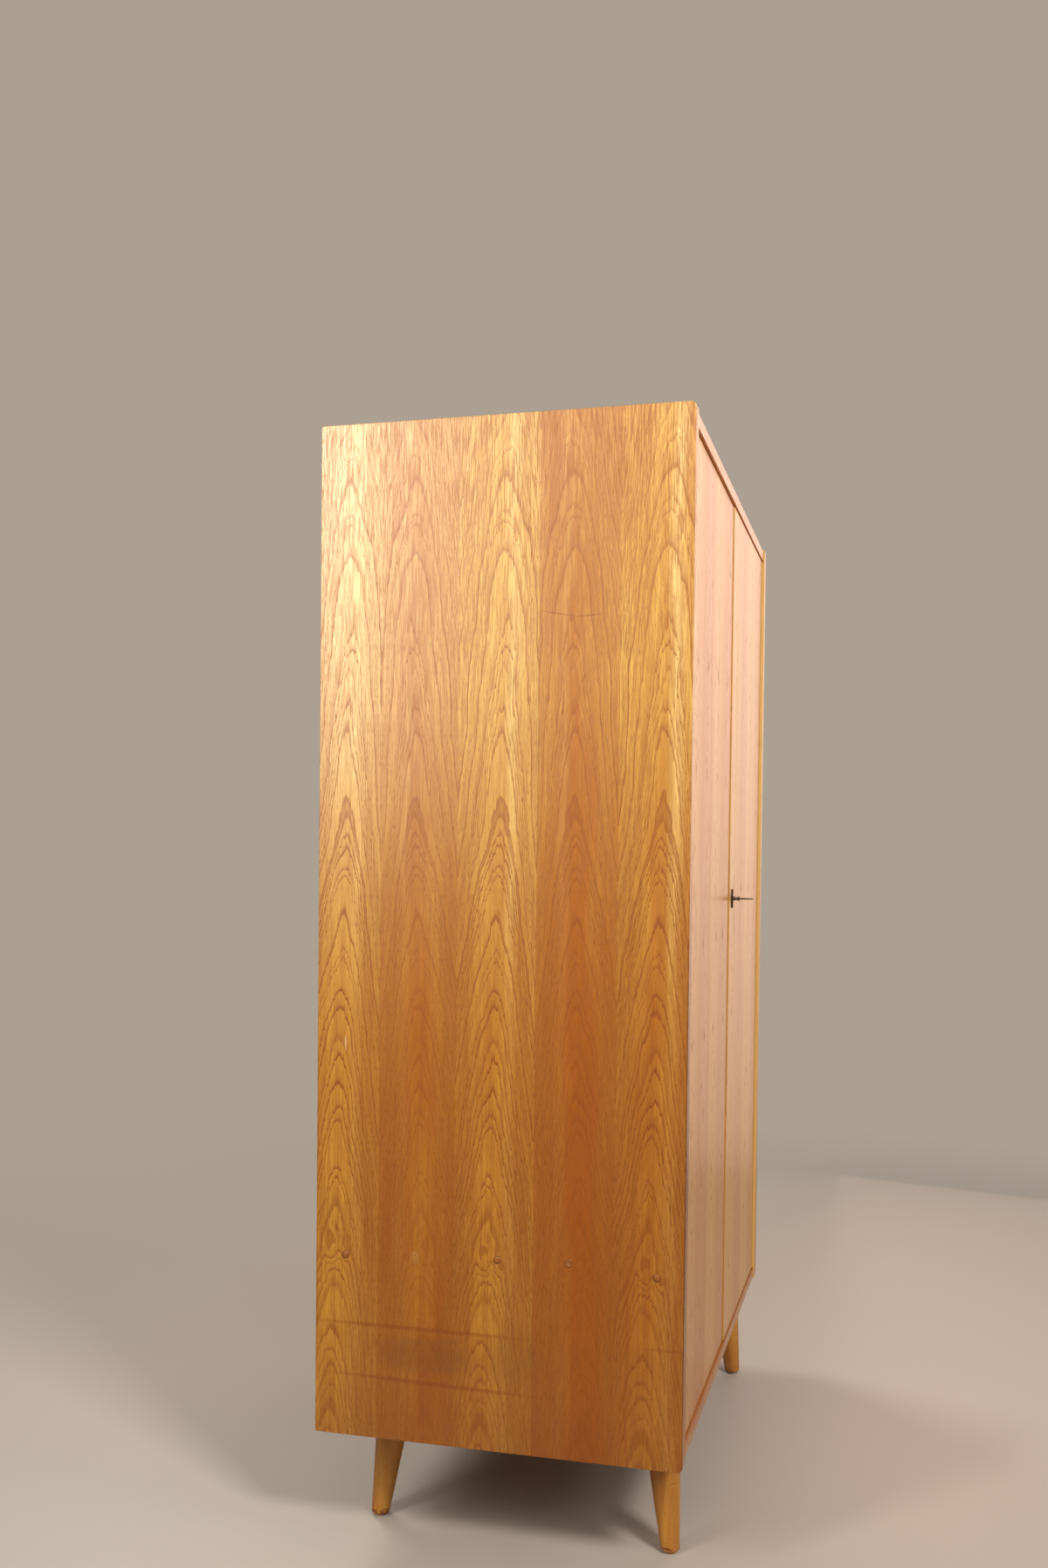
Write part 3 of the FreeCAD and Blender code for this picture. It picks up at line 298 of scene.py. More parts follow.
    # A pale band of sapwood runs beside every second joint, broken into patches
    swayed = add_node(tree, "ShaderNodeMath", {0: waver, 1: middle}, operation="ADD")
    share_of_leaf = add_node(tree, "ShaderNodeMath", {0: swayed, 1: LEAF}, operation="DIVIDE")
    sap = add_node(
        tree, "ShaderNodeValToRGB", {0: share_of_leaf},
        stops=((0.6, 0.0), (1.0, 0.3), (0.68, 0.9), (0.74, 0.8), (0.82, 0.1), (0.97, 0.1)),
    )
    patchy = add_node(
        tree, "ShaderNodeMapRange",
        {"Value": cloud, "From Min": 0.36, "From Max": 0.58, "To Min": 0.45, "To Max": 1.0},
    )
    sap = add_node(tree, "ShaderNodeMath", {0: sap, 1: patchy}, operation="MULTIPLY")
    paler = add_node(tree, "ShaderNodeMath", {0: turned, 1: -0.75, 2: 1.0}, operation="MULTIPLY_ADD")
    sap = add_node(tree, "ShaderNodeMath", {0: sap, 1: paler}, operation="MULTIPLY")
    higher = add_node(tree, "ShaderNodeMath", {0: painted_sheen_height, 1: 0.55, 2: 0.45}, operation="MULTIPLY_ADD")
    sap = add_node(tree, "ShaderNodeMath", {0: sap, 1: higher}, operation="MULTIPLY")
    sap = add_node(tree, "ShaderNodeMath", {0: sap, 1: contrast}, operation="MULTIPLY")
    banded = add_node(tree, "ShaderNodeMixRGB", {0: sap, 1: late_wood, 2: linear("#F0D088")})

    # A redder heart runs up the middle of the turned leaves
    heart = streaks(tree, place, width=5.0, length=60.0)
    heart = add_node(
        tree, "ShaderNodeMapRange",
        {"Value": heart, "From Min": 0.36, "From Max": 0.6, "To Max": 0.55 * contrast},
    )
    for share in (inner, turned, painted_sheen_height):
        heart = add_node(tree, "ShaderNodeMath", {0: heart, 1: share}, operation="MULTIPLY")
    banded = add_node(tree, "ShaderNodeMixRGB", {0: heart, 1: banded, 2: linear("#A2602A")})

    # Long fine streaks, and shorter broken ones that grow stronger towards the top
    fine = streaks(tree, place, width=4.0, length=150.0)
    fine_share = add_node(
        tree, "ShaderNodeMapRange",
        {"Value": fine, "From Min": 0.4, "From Max": 0.62, "To Max": 0.45 * contrast},
    )
    broken = streaks(tree, place, width=1.7, length=46.0)
    broken_share = add_node(
        tree, "ShaderNodeMapRange", {"Value": broken, "From Min": 0.46, "From Max": 0.57, "To Max": contrast}
    )
    grainy = add_node(
        tree, "ShaderNodeMapRange",
        {"Value": axes[along], "From Min": GRAINY_FROM, "From Max": GRAINY_TO, "To Min": 0.32, "To Max": 0.8},
    )
    broken_share = add_node(tree, "ShaderNodeMath", {0: broken_share, 1: grainy}, operation="MULTIPLY")
    fine_share = add_node(tree, "ShaderNodeMath", {0: fine_share, 1: broken_share}, operation="MAXIMUM")
    streaked = add_node(tree, "ShaderNodeMixRGB", {0: fine_share, 1: banded, 2: linear("#9E6426")})
    ringed = add_node(tree, "ShaderNodeMixRGB", {0: ring_mask, 1: streaked, 2: linear("#8E490C")})
    colour = add_node(tree, "ShaderNodeMixRGB", {0: pore_mask, 1: ringed, 2: linear("#7C420F")})

    # Quiet leaves show dark flecks along their middle, which the arches hide elsewhere
    flecks = streaks(tree, place, width=6.0, length=26.0)
    fleck_mask = add_node(
        tree, "ShaderNodeMapRange",
        {"Value": flecks, "From Min": 0.6, "From Max": 0.68, "To Max": 0.7 * quietness},
    )
    fleck_mask = add_node(tree, "ShaderNodeMath", {0: fleck_mask, 1: inner}, operation="MULTIPLY")
    colour = add_node(tree, "ShaderNodeMixRGB", {0: fleck_mask, 1: colour, 2: linear("#7A4420")})

    # Painted shade: the lower part is painted darker; then come the marks, real ones and a painted shade
    # along the bottom
    painted_lower_shade = add_node(
        tree, "ShaderNodeMath", {0: painted_sheen_height, 1: -contrast, 2: contrast}, operation="MULTIPLY_ADD"
    )
    colour = add_node(
        tree, "ShaderNodeMixRGB", {0: painted_lower_shade, 1: colour, 2: linear("#EACF9C")}, blend_type="MULTIPLY"
    )
    for tint, *spot in marks:
        mask = soft_spot(tree, axes[across], axes[along], spot)
        colour = add_node(tree, "ShaderNodeMixRGB", {0: mask, 1: colour, 2: linear(tint)})

    # The face that is turned to the inside or to the floor gets a tone of its own, painted light or painted
    # shade
    for limit, tint, share in under:
        below = add_node(tree, "ShaderNodeMath", {0: inward, 1: limit}, operation="LESS_THAN")
        below = add_node(tree, "ShaderNodeMath", {0: below, 1: share}, operation="MULTIPLY")
        colour = add_node(tree, "ShaderNodeMixRGB", {0: below, 1: colour, 2: linear(tint)})

    # A strip of veneer along each cut end, with its grain along the edge
    for end, sign in ends:
        strip = add_node(tree, "ShaderNodeCombineXYZ", {0: axes[over], 1: axes[across], 2: end})
        strip = streaks(tree, strip, width=1.6, length=90.0)
        strip = add_node(tree, "ShaderNodeMapRange", {"Value": strip, "From Min": 0.35, "From Max": 0.65})
        strip = add_node(tree, "ShaderNodeMixRGB", {0: strip, 1: linear("#D2A252"), 2: linear("#9C6428")})
        beyond = add_node(
            tree, "ShaderNodeMath", {0: axes[along], 1: sign, 2: -sign * end}, operation="MULTIPLY_ADD"
        )
        beyond = add_node(tree, "ShaderNodeMath", {0: beyond, 1: 0.0}, operation="GREATER_THAN")
        colour = add_node(tree, "ShaderNodeMixRGB", {0: beyond, 1: colour, 2: strip})

    # Lacquer lies smooth on the late wood and sinks into the open grain, which therefore shines less
    sunk = add_node(tree, "ShaderNodeMath", {0: ring_mask, 1: 0.6, 2: fine_share}, operation="MULTIPLY_ADD")
    sunk = add_node(tree, "ShaderNodeMath", {0: sunk, 1: pore_mask}, operation="ADD", use_clamp=True)
    gloss = add_node(
        tree, "ShaderNodeMapRange", {"Value": sunk, "To Min": 0.29 - 0.05 * contrast, "To Max": 0.42}
    )
    bump = add_node(
        tree, "ShaderNodeBump", {"Strength": 0.5, "Distance": PORE_DEPTH, "Height": pore_mask}, invert=True
    )

    # The flecks and some columns of a quiet leaf are rougher, which shows at a low angle
    column = streaks(tree, place, width=40.0, length=2500.0)
    dimmed = add_node(
        tree, "ShaderNodeMapRange",
        {"Value": column, "From Min": 0.4, "From Max": 0.6, "To Max": 0.12 * quietness},
    )
    dimmed = add_node(tree, "ShaderNodeMath", {0: dimmed, 1: fleck_mask}, operation="ADD", use_clamp=True)
    gloss = add_node(tree, "ShaderNodeMath", {0: dimmed, 1: 0.35, 2: gloss}, operation="MULTIPLY_ADD")
    for socket, node in (("Base Color", colour), ("Roughness", gloss), ("Normal", bump)):
        tree.links.new(node.outputs[0], shader.inputs[socket])
    return material


def dress(material, *names):
    """Give the named pieces of the frame this material all over."""
    for name in names:
        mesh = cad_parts[name].data
        mesh.materials.clear()
        mesh.materials.append(material)


# How far in front of a face or end the change to its own tone lies, in millimetres
FACE_DEPTH = 0.4
END_DEPTH = 0.3
BOLD_FIGURE = 1.0
side_low, side_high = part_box("side_panel_left")
side_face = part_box("side_panel_right")[1].x * MM
side_joint = 339.0
left_log = 0.0
right_log = 2600.0
leaf_drift = 0.13
side_ends = ((side_high.z * MM - END_DEPTH, 1.0), (side_low.z * MM + END_DEPTH, -1.0))
# The inner face of each side is painted pale yellow: painted light on the strip that shows beside the doors
side_inner_painted_light = ((side_high.x * -MM + FACE_DEPTH, "#F0C878", 0.75),)

# Each spot: place across and along the grain, half sizes, lean, and how far it pushes the rings up
knot_push = ((50.0, 484.0, 16.0, 40.0, 0.0, 50.0), (71.0, 480.0, 13.0, 32.0, 0.0, 26.0))

# Scratches, runs in the lacquer, stains, rubbed edges and painted shade: colour, place, half sizes, lean and
# strength
side_marks = (
    ("#6A3414", -78.0, 1489.5, 38.0, 0.9, 0.165, 0.8),
    ("#6A3414", -125.0, 1485.7, 26.0, 0.9, -0.065, 0.75),
    ("#863F0C", 140.0, 363.0, 240.0, 5.0, 0.0, 0.5),
    ("#863F0C", -270.0, 366.0, 70.0, 4.0, 0.0, 0.4),
    ("#863F0C", 120.0, 277.0, 230.0, 5.0, 0.02, 0.5),
    ("#6E4420", 130.0, 322.0, 120.0, 42.0, 0.0, 0.35),
    ("#7A4A20", -20.0, 330.0, 60.0, 70.0, 0.0, 0.25),
    # Painted shade: the bottom of the panel darkened across its whole width
    ("#7A3C0C", 60.0, 170.0, 480.0, 130.0, 0.0, 0.2),
    ("#4A2810", -283.0, 620.0, 1.6, 620.0, 0.0, 0.6),
    ("#F0DDB4", 268.0, 815.0, 1.6, 16.0, 0.0, 0.5),
)
left_oak = oak_veneer(
    "oak veneer, satin lacquer, left side", across=Y, along=Z, over=X, face=side_face,
    first_joint=side_joint, log_start=left_log, drift=leaf_drift, contrast=BOLD_FIGURE,
    knot=knot_push, marks=side_marks, under=side_inner_painted_light, ends=side_ends,
)
right_oak = oak_veneer(
    "oak veneer, satin lacquer, right side", across=Y, along=Z, over=X, face=side_face,
    first_joint=side_joint, log_start=right_log, drift=leaf_drift, contrast=BOLD_FIGURE,
    under=side_inner_painted_light, ends=side_ends,
)
dress(left_oak, "side_panel_left")
dress(right_oak, "side_panel_right")

# Pin knots
# Where a thin twig ran through the log, each of the five leaves has a small round knot. The veneer has
# shrunk round them, so three stand up as low domes; the second has torn fibres, and the fourth has sunk.

KNOT_SIDES = 40
TORN_KNOT = 2
SUNK_KNOT = 4
RIDGES = 7.0
RIDGE_RISE = 0.45
TORN_STRETCH = 1.5
OUT_OF_ROUND = 0.06

# Radius and rise of each ring of a knot in millimetres, from the rim inwards
DOME = (
    (6.4, 0.0), (6.1, 0.35), (5.7, 0.3), (5.4, 0.5), (4.9, 1.0), (4.0, 1.45), (2.6, 1.75), (1.2, 1.85),
)
HOLLOW = (
    (6.4, 0.0), (5.9, 0.5), (5.2, 1.05), (4.6, 1.1), (3.9, 0.7), (3.0, 0.3), (1.8, 0.12), (0.8, 0.1),
)
BURST = ((7.2, 0.0), (6.4, 0.2), (5.2, 0.45), (3.9, 0.7), (2.6, 0.8), (1.2, 0.9))
knot_places = ((265.0, 473.0), (148.0, 476.0), (12.0, 484.0), (-103.0, 488.0), (-241.0, 477.0))


def knot_wood(name, pale, rim):
    """End grain of a twig under lacquer: fine rings, and painted shade, dark in places, round the rim where
    it meets the veneer.
    """
    material, tree, shader = start_material(name, IOR=1.5, Specular_IOR_Level=0.3)
    generated = tree.nodes.new("ShaderNodeTexCoord").outputs["Generated"]
    offset = add_node(
        tree, "ShaderNodeVectorMath", {0: generated, 1: (0.5, 0.5, 0.5)}, operation="SUBTRACT"
    )
    flat = add_node(tree, "ShaderNodeVectorMath", {0: offset, 1: (0.0, 2.0, 2.0)}, operation="MULTIPLY")
    radius = add_node(tree, "ShaderNodeVectorMath", {0: flat}, operation="LENGTH").outputs["Value"]
    cells = add_node(tree, "ShaderNodeTexNoise", {"Vector": generated, "Scale": 7.0, "Detail": 3.0})
    uneven = add_node(tree, "ShaderNodeMath", {0: cells, 1: 0.5, 2: radius}, operation="MULTIPLY_ADD")
    outward = add_node(tree, "ShaderNodeMath", {0: uneven, 1: 0.78}, operation="MULTIPLY")
    # The dark rim is painted shade in the groove round the knot
    ring = add_node(
        tree, "ShaderNodeValToRGB", {0: outward},
        stops=((0.0, 0.25), (1.0, 0.7 * rim), (0.45, 0.0), (0.62, 0.2), (0.8, 0.1), (0.88, rim)),
    )
    colour = add_node(tree, "ShaderNodeMixRGB", {0: ring, 1: linear(pale), 2: linear("#4A220A")})
    gloss = add_node(tree, "ShaderNodeMapRange", {"Value": cells, "To Min": 0.3, "To Max": 0.5})
    for socket, node in (("Base Color", colour), ("Roughness", gloss)):
        tree.links.new(node.outputs[0], shader.inputs[socket])
    return material


# The twig has a dark rim of painted shade and a dull glint; the torn fibres are paler and hardly have that
# rim
twig = knot_wood("oak twig, end grain under lacquer", pale="#A4642A", rim=0.75)
torn_fibres = knot_wood("oak, torn fibres under lacquer", pale="#B47A38", rim=0.15)
for number, (knot_y, knot_z) in enumerate(knot_places, 1):
    is_torn = number == TORN_KNOT
    profile = HOLLOW if number == SUNK_KNOT else BURST if is_torn else DOME
    mesh = bmesh.new()
    rings = []
    for radius, rise in profile:
        ring = []
        for side in range(KNOT_SIDES):
            angle = 2 * math.pi * side / KNOT_SIDES
            # The burst knot is torn into ridges that run up and down
            ridge = math.sin(RIDGES * math.cos(angle) * radius / profile[0][0])
            torn = 1.0 + RIDGE_RISE * ridge if is_torn else 1.0
            tall = TORN_STRETCH if is_torn else 1.0 + OUT_OF_ROUND * math.sin(2 * angle + number)
            ring.append(mesh.verts.new((
                (-side_face - rise * torn) / MM,
                (knot_y + radius * math.cos(angle)) / MM,
                (knot_z + radius * tall * math.sin(angle)) / MM,
            )))
        rings.append(ring)
    for outer, inner in zip(rings, rings[1:]):
        for side in range(KNOT_SIDES):
            after = (side + 1) % KNOT_SIDES
            mesh.faces.new((outer[side], outer[after], inner[after], inner[side]))
    mesh.faces.new(rings[-1])
    bmesh.ops.recalc_face_normals(mesh, faces=mesh.faces)
    data = bpy.data.meshes.new(f"pin_knot_{number}")
    mesh.to_mesh(data)
    mesh.free()
    data.shade_smooth()
    data.materials.append(torn_fibres if is_torn else twig)
    knot = bpy.data.objects.new(data.name, data)
    bpy.context.scene.collection.objects.link(knot)
    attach(knot, "carcass")

# Top and bottom panels
# The same board and veneer, with the grain running from side to side, glued between the sides on tongues.
# Their front edges lie a little behind those of the sides.

QUIETER_FIGURE = 0.6
top_log = 5200.0
bottom_log = 7100.0
top_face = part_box("top_panel")[1].z * MM
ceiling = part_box("top_panel")[0].z * MM
bottom_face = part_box("bottom_panel")[0].z * MM
# The underside of the top is painted orange: painted light, bounced into the gap above the doors
top_oak = oak_veneer(
    "oak veneer, satin lacquer, top", across=Y, along=X, over=Z, face=top_face,
    first_joint=side_joint, log_start=top_log, drift=leaf_drift, contrast=QUIETER_FIGURE,
    under=((ceiling + FACE_DEPTH, "#DC8420", 0.85),),
)
# The underside of the bottom is painted dark brown: painted shade under the case
bottom_oak = oak_veneer(
    "oak veneer, satin lacquer, bottom", across=Y, along=X, over=Z, face=bottom_face,
    first_joint=side_joint, log_start=bottom_log, drift=leaf_drift, contrast=QUIETER_FIGURE,
    under=((bottom_face + FACE_DEPTH, "#6A4A2C", 0.8),),
)
dress(top_oak, "top_panel")
dress(bottom_oak, "bottom_panel")

# Back panel
# A sheet of thin plywood whose face was peeled from the turning log. It was left raw and has gone brown,
# and it is held in a rebate all round by round-headed screws.

PLY_WAVE = 95.0
PLY_STRETCH = 5
PLY_LINES = 22.0
PLY_FUZZ = 0.0003


def plywood(name):
    """Raw rotary-cut plywood: flowing lines where the knife crossed the growth rings, fuzzy, no shine."""
    material, tree, shader = start_material(name, IOR=1.5, Specular_IOR_Level=0.25)
    axes = place_in_mm(tree)
    place = add_node(tree, "ShaderNodeCombineXYZ", {0: axes[X], 1: axes[Z], 2: 0.0})
    flow = streaks(tree, place, width=PLY_WAVE, length=PLY_STRETCH * PLY_WAVE, detail=1.5)
    frayed = streaks(tree, place, width=3.0, length=50.0)
    bands = add_node(tree, "ShaderNodeMath", {0: flow, 1: PLY_LINES}, operation="MULTIPLY")
    bands = add_node(tree, "ShaderNodeMath", {0: frayed, 1: 0.5, 2: bands}, operation="MULTIPLY_ADD")
    growth = add_node(tree, "ShaderNodeMath", {0: bands}, operation="FRACT")
    wave = add_node(
        tree, "ShaderNodeValToRGB", {0: growth},
        stops=((0.0, 1.0), (1.0, 0.8), (0.12, 0.7), (0.35, 0.2), (0.7, 0.0), (0.94, 0.1)),
    )
    fibre = streaks(tree, place, width=1.2, length=60.0)
    stain = streaks(tree, place, width=300.0, length=500.0)
    face = add_node(tree, "ShaderNodeMixRGB", {0: wave, 1: linear("#B98F62"), 2: linear("#9C7148")})
    fibre_share = add_node(
        tree, "ShaderNodeMapRange", {"Value": fibre, "From Min": 0.4, "From Max": 0.7, "To Max": 0.45}
    )
    fuzzy = add_node(tree, "ShaderNodeMixRGB", {0: fibre_share, 1: face, 2: linear("#7E5935")})
    stain_share = add_node(
        tree, "ShaderNodeMapRange", {"Value": stain, "From Min": 0.5, "From Max": 0.75, "To Max": 0.35}
    )
    colour = add_node(tree, "ShaderNodeMixRGB", {0: stain_share, 1: fuzzy, 2: linear("#6B4A2E")})
    gloss = add_node(tree, "ShaderNodeMapRange", {"Value": fibre, "To Min": 0.62, "To Max": 0.85})
    bump = add_node(tree, "ShaderNodeBump", {"Strength": 0.4, "Distance": PLY_FUZZ, "Height": fibre})
    for socket, node in (("Base Color", colour), ("Roughness", gloss), ("Normal", bump)):
        tree.links.new(node.outputs[0], shader.inputs[socket])
    return material


dress(plywood("raw rotary-cut plywood"), "back_panel")

# Partition, shelves and rail
# Boards faced with a paler straight-grained veneer under matt lacquer. The fixed shelves sit on beech
# dowels, the hat shelf on beech cleats; the rail for hangers and the door stops are beech too.

GRAIN_DEPTH = 0.0002
KNOCKED_FOOT = 0.25


def plain_wood(name, pale, dark, grain, length, roughness, along, fleck=0.0, scuffed=0.0):
    """Straight-grained lacquered wood: quiet stripes, fine flecks and a soft, even sheen.

    Grain width and length are millimetres, along is the axis of the grain, and scuffed is the height
    in millimetres up to which a foot has been knocked.
    """
    material, tree, shader = start_material(name, IOR=1.5, Specular_IOR_Level=0.4)
    axes = place_in_mm(tree)
    first, second = [axis for axis in (X, Y, Z) if axis != along]
    side = add_node(tree, "ShaderNodeMath", {0: axes[first], 1: axes[second]}, operation="ADD")
    place = add_node(tree, "ShaderNodeCombineXYZ", {0: side, 1: axes[along], 2: 0.0})
    broad = streaks(tree, place, width=12 * grain, length=3 * length, detail=3.0)
    fine = streaks(tree, place, width=grain, length=length)
    specks = streaks(tree, place, width=0.8, length=5.0)
    broad_share = add_node(tree, "ShaderNodeMapRange", {"Value": broad, "From Min": 0.35, "From Max": 0.68})
    body = add_node(tree, "ShaderNodeMixRGB", {0: broad_share, 1: linear(pale), 2: linear(dark)})
    fine_share = add_node(
        tree, "ShaderNodeMapRange", {"Value": fine, "From Min": 0.45, "From Max": 0.75, "To Max": 0.5}
    )
    streaked = add_node(tree, "ShaderNodeMixRGB", {0: fine_share, 1: body, 2: linear(dark)})
    speck_share = add_node(
        tree, "ShaderNodeMapRange", {"Value": specks, "From Min": 0.62, "From Max": 0.75, "To Max": fleck}
    )
    colour = add_node(tree, "ShaderNodeMixRGB", {0: speck_share, 1: streaked, 2: linear("#6E4220")})
    if scuffed:
        knocks = streaks(tree, place, width=5.0, length=4.0, detail=3.0)
        near_floor = add_node(
            tree, "ShaderNodeMapRange",
            {"Value": axes[Z], "From Min": KNOCKED_FOOT * scuffed, "From Max": scuffed,
             "To Min": 0.25, "To Max": 0.0},
        )
        knocks = add_node(tree, "ShaderNodeMath", {0: knocks, 1: near_floor}, operation="ADD")
        knocks = add_node(tree, "ShaderNodeMapRange", {"Value": knocks, "From Min": 0.66, "From Max": 0.76})
        colour = add_node(tree, "ShaderNodeMixRGB", {0: knocks, 1: colour, 2: linear("#7C3C16")})
    gloss = add_node(
        tree, "ShaderNodeMapRange",
        {"Value": broad, "From Min": 0.3, "From Max": 0.7,
         "To Min": roughness - 0.05, "To Max": roughness + 0.06},
    )
    bump = add_node(tree, "ShaderNodeBump", {"Strength": 0.25, "Distance": GRAIN_DEPTH, "Height": fine})
    for socket, node in (("Base Color", colour), ("Roughness", gloss), ("Normal", bump)):
        tree.links.new(node.outputs[0], shader.inputs[socket])
    return material


# Matt lacquer on ash gives pale, quiet boards with hardly a glint; beech is pinker, with small flecks
ash = {"pale": "#DDBD8C", "dark": "#C39A64", "grain": 2.4, "length": 160.0, "roughness": 0.5}
beech = {"pale": "#D9AE7A", "dark": "#BE8D58", "grain": 1.8, "length": 90.0, "roughness": 0.45, "fleck": 0.4}
shelf_wood = plain_wood("ash veneer, matt lacquer, shelves", along=X, **ash)
partition_wood = plain_wood("ash veneer, matt lacquer, partition", along=Z, **ash)
rail_wood = plain_wood("beech, matt lacquer", along=X, **beech)
cleat_wood = plain_wood("beech, matt lacquer, cleats", along=Y, **beech)
dress(shelf_wood, "shoe_shelf", "lower_linen_shelf", "hat_shelf")
dress(shelf_wood, "linen_shelf_1", "linen_shelf_2", "linen_shelf_3")
dress(partition_wood, "partition")
dress(rail_wood, "shelf_dowels", "hanging_rail", "door_stops")
dress(cleat_wood, "hat_shelf_cleats")

# Shelf pins and rail sockets
# Turned brass pins, pushed into holes, carry the loose shelves. Flanged cups of nickelled steel, screwed
# to the left side and the partition, hold the rail.

BRUSH_DEPTH = 0.0001


def worn_metal(name, clean, dull, roughness):
    """Handled metal: cloudy tarnish in patches of some millimetres, with a finer brushed grain."""
    material, tree, shader = start_material(name, Metallic=1.0)
    axes = place_in_mm(tree)
    place = add_node(tree, "ShaderNodeCombineXYZ", {0: axes[X], 1: axes[Z], 2: axes[Y]})
    tarnish = streaks(tree, place, width=6.0, length=9.0, detail=4.0)
    brushed = streaks(tree, place, width=0.4, length=8.0)
    share = add_node(tree, "ShaderNodeMapRange", {"Value": tarnish, "From Min": 0.35, "From Max": 0.7})
    colour = add_node(tree, "ShaderNodeMixRGB", {0: share, 1: linear(clean), 2: linear(dull)})
    gloss = add_node(
        tree, "ShaderNodeMapRange", {"Value": tarnish, "To Min": roughness - 0.1, "To Max": roughness + 0.18}
    )
    bump = add_node(tree, "ShaderNodeBump", {"Strength": 0.15, "Distance": BRUSH_DEPTH, "Height": brushed})
    for socket, node in (("Base Color", colour), ("Roughness", gloss), ("Normal", bump)):
        tree.links.new(node.outputs[0], shader.inputs[socket])
    return material


# Brass has gone brownish and dull with age; nickel keeps a cool, brighter shine with grey clouds
brass = worn_metal("cast brass, dull", clean="#C8A55C", dull="#8C6C35", roughness=0.38)
nickel = worn_metal("nickelled steel, worn", clean="#CFCBC2", dull="#9B968C", roughness=0.3)
dress(brass, "shelf_pins")
dress(nickel, "rail_sockets")

# Legs and glides
# Turned beech, tapered and splayed, lacquered like the case. Steel plates under the bottom panel and
# studs hold the legs; each stands on a pale nylon glide nailed into the foot.

SCUFF_HEIGHT = 22.0

# Satin lacquer gives the legs an amber tone and a long soft glint; the feet are knocked dark in spots
leg_wood = plain_wood(
    "turned beech, satin lacquer", pale="#D69A3E", dark="#A86628", grain=1.6, length=70.0, roughness=0.36,
    along=Z, fleck=0.45, scuffed=SCUFF_HEIGHT,
)
dress(leg_wood, "front_left_leg", "front_right_leg", "back_left_leg", "back_right_leg")

# Rolled steel is grey and only half shiny
plain_steel = worn_metal("rolled steel, plain", clean="#8C8982", dull="#6C6860", roughness=0.46)
dress(plain_steel, "leg_plates", "leg_studs")


def nylon(name):
    """Pale moulded nylon, scuffed and dusty: no glint, brown where the floor has rubbed it."""
    material, tree, shader = start_material(name, IOR=1.53, Specular_IOR_Level=0.5)
    axes = place_in_mm(tree)
    place = add_node(tree, "ShaderNodeCombineXYZ", {0: axes[X], 1: axes[Y], 2: axes[Z]})
    scuff = streaks(tree, place, width=3.0, length=3.0, detail=4.0)
    share = add_node(tree, "ShaderNodeMapRange", {"Value": scuff, "From Min": 0.4, "From Max": 0.65})
    colour = add_node(tree, "ShaderNodeMixRGB", {0: share, 1: linear("#B9A080"), 2: linear("#7E6244")})
    gloss = add_node(tree, "ShaderNodeMapRange", {"Value": scuff, "To Min": 0.35, "To Max": 0.6})
    for socket, node in (("Base Color", colour), ("Roughness", gloss)):
        tree.links.new(node.outputs[0], shader.inputs[socket])
    return material


dress(nylon("moulded nylon, scuffed"), "leg_glides")

# Doors
# Flat boards veneered like the case and hung between the sides; the right one stands a little prouder.
# The veneer is from a quieter part of the log, with its leaves closer in tone.

FAINT_FIGURE = 0.2
door_log = 9300.0
door_joint = 1408.0
door_drift = 0.045
door_face = -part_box("left_door")[0].y * MM
# The edges and inner face of each door are painted paler: a painted highlight on the edge that shows at the
# seam
door_oak = oak_veneer(
    "oak veneer, satin lacquer, doors", across=X, along=Z, over=Y, face=door_face,
    first_joint=door_joint, log_start=door_log, drift=door_drift, contrast=FAINT_FIGURE,
    under=((door_face - FACE_DEPTH, "#E0BE80", 0.35),),
)
dress(door_oak, "left_door", "right_door")

# Pivot hinges
# Brass leaves let into the top and bottom edges of the doors, each with a pin that turns in a leaf with a
# hole, let into the top or bottom panel. A washer on each lower pin carries the door.

dress(brass, "pivot_washers")
for door in ("left_door", "right_door"):
    for end in ("upper", "lower"):
        dress(brass, f"{door}_{end}_pivot", f"{door}_{end}_socket")

# Slide bolts
# Two bolts of nickelled steel run under bridges on their plates, which are screwed to the inside of the
# left door at its top and bottom. They shoot into brass keepers let into the top and bottom panels.

dress(nickel, "upper_bolt_plate", "lower_bolt_plate", "upper_slide_bolt", "lower_slide_bolt")
dress(brass, "bolt_keepers")

# Door stop buffers
# Small discs of green wool felt, punched from a sheet and glued to the stops.
# They take the knock when a door is shut.

FELT_PILE = 0.0004


def felt(name):
    """Pressed wool felt: mottled, fuzzy, without gloss."""
    material, tree, shader = start_material(name, Roughness=0.95, Sheen_Weight=0.6, Specular_IOR_Level=0.1)
    axes = place_in_mm(tree)
    place = add_node(tree, "ShaderNodeCombineXYZ", {0: axes[X], 1: axes[Z], 2: axes[Y]})
    fluff = streaks(tree, place, width=0.7, length=0.7, detail=4.0)
    colour = add_node(tree, "ShaderNodeMixRGB", {0: fluff, 1: linear("#4E6B43"), 2: linear("#33472C")})
    bump = add_node(tree, "ShaderNodeBump", {"Strength": 0.5, "Distance": FELT_PILE, "Height": fluff})
    for socket, node in (("Base Color", colour), ("Normal", bump)):
        tree.links.new(node.outputs[0], shader.inputs[socket])
    return material


dress(felt("pressed wool felt"), "door_buffers")

# Lock, escutcheon and key
# A steel lock let into the inside of the right door throws its bolt into a brass strike plate on the left
# one. The blackened iron escutcheon is pinned on round the keyhole, and the forged key stays in it.

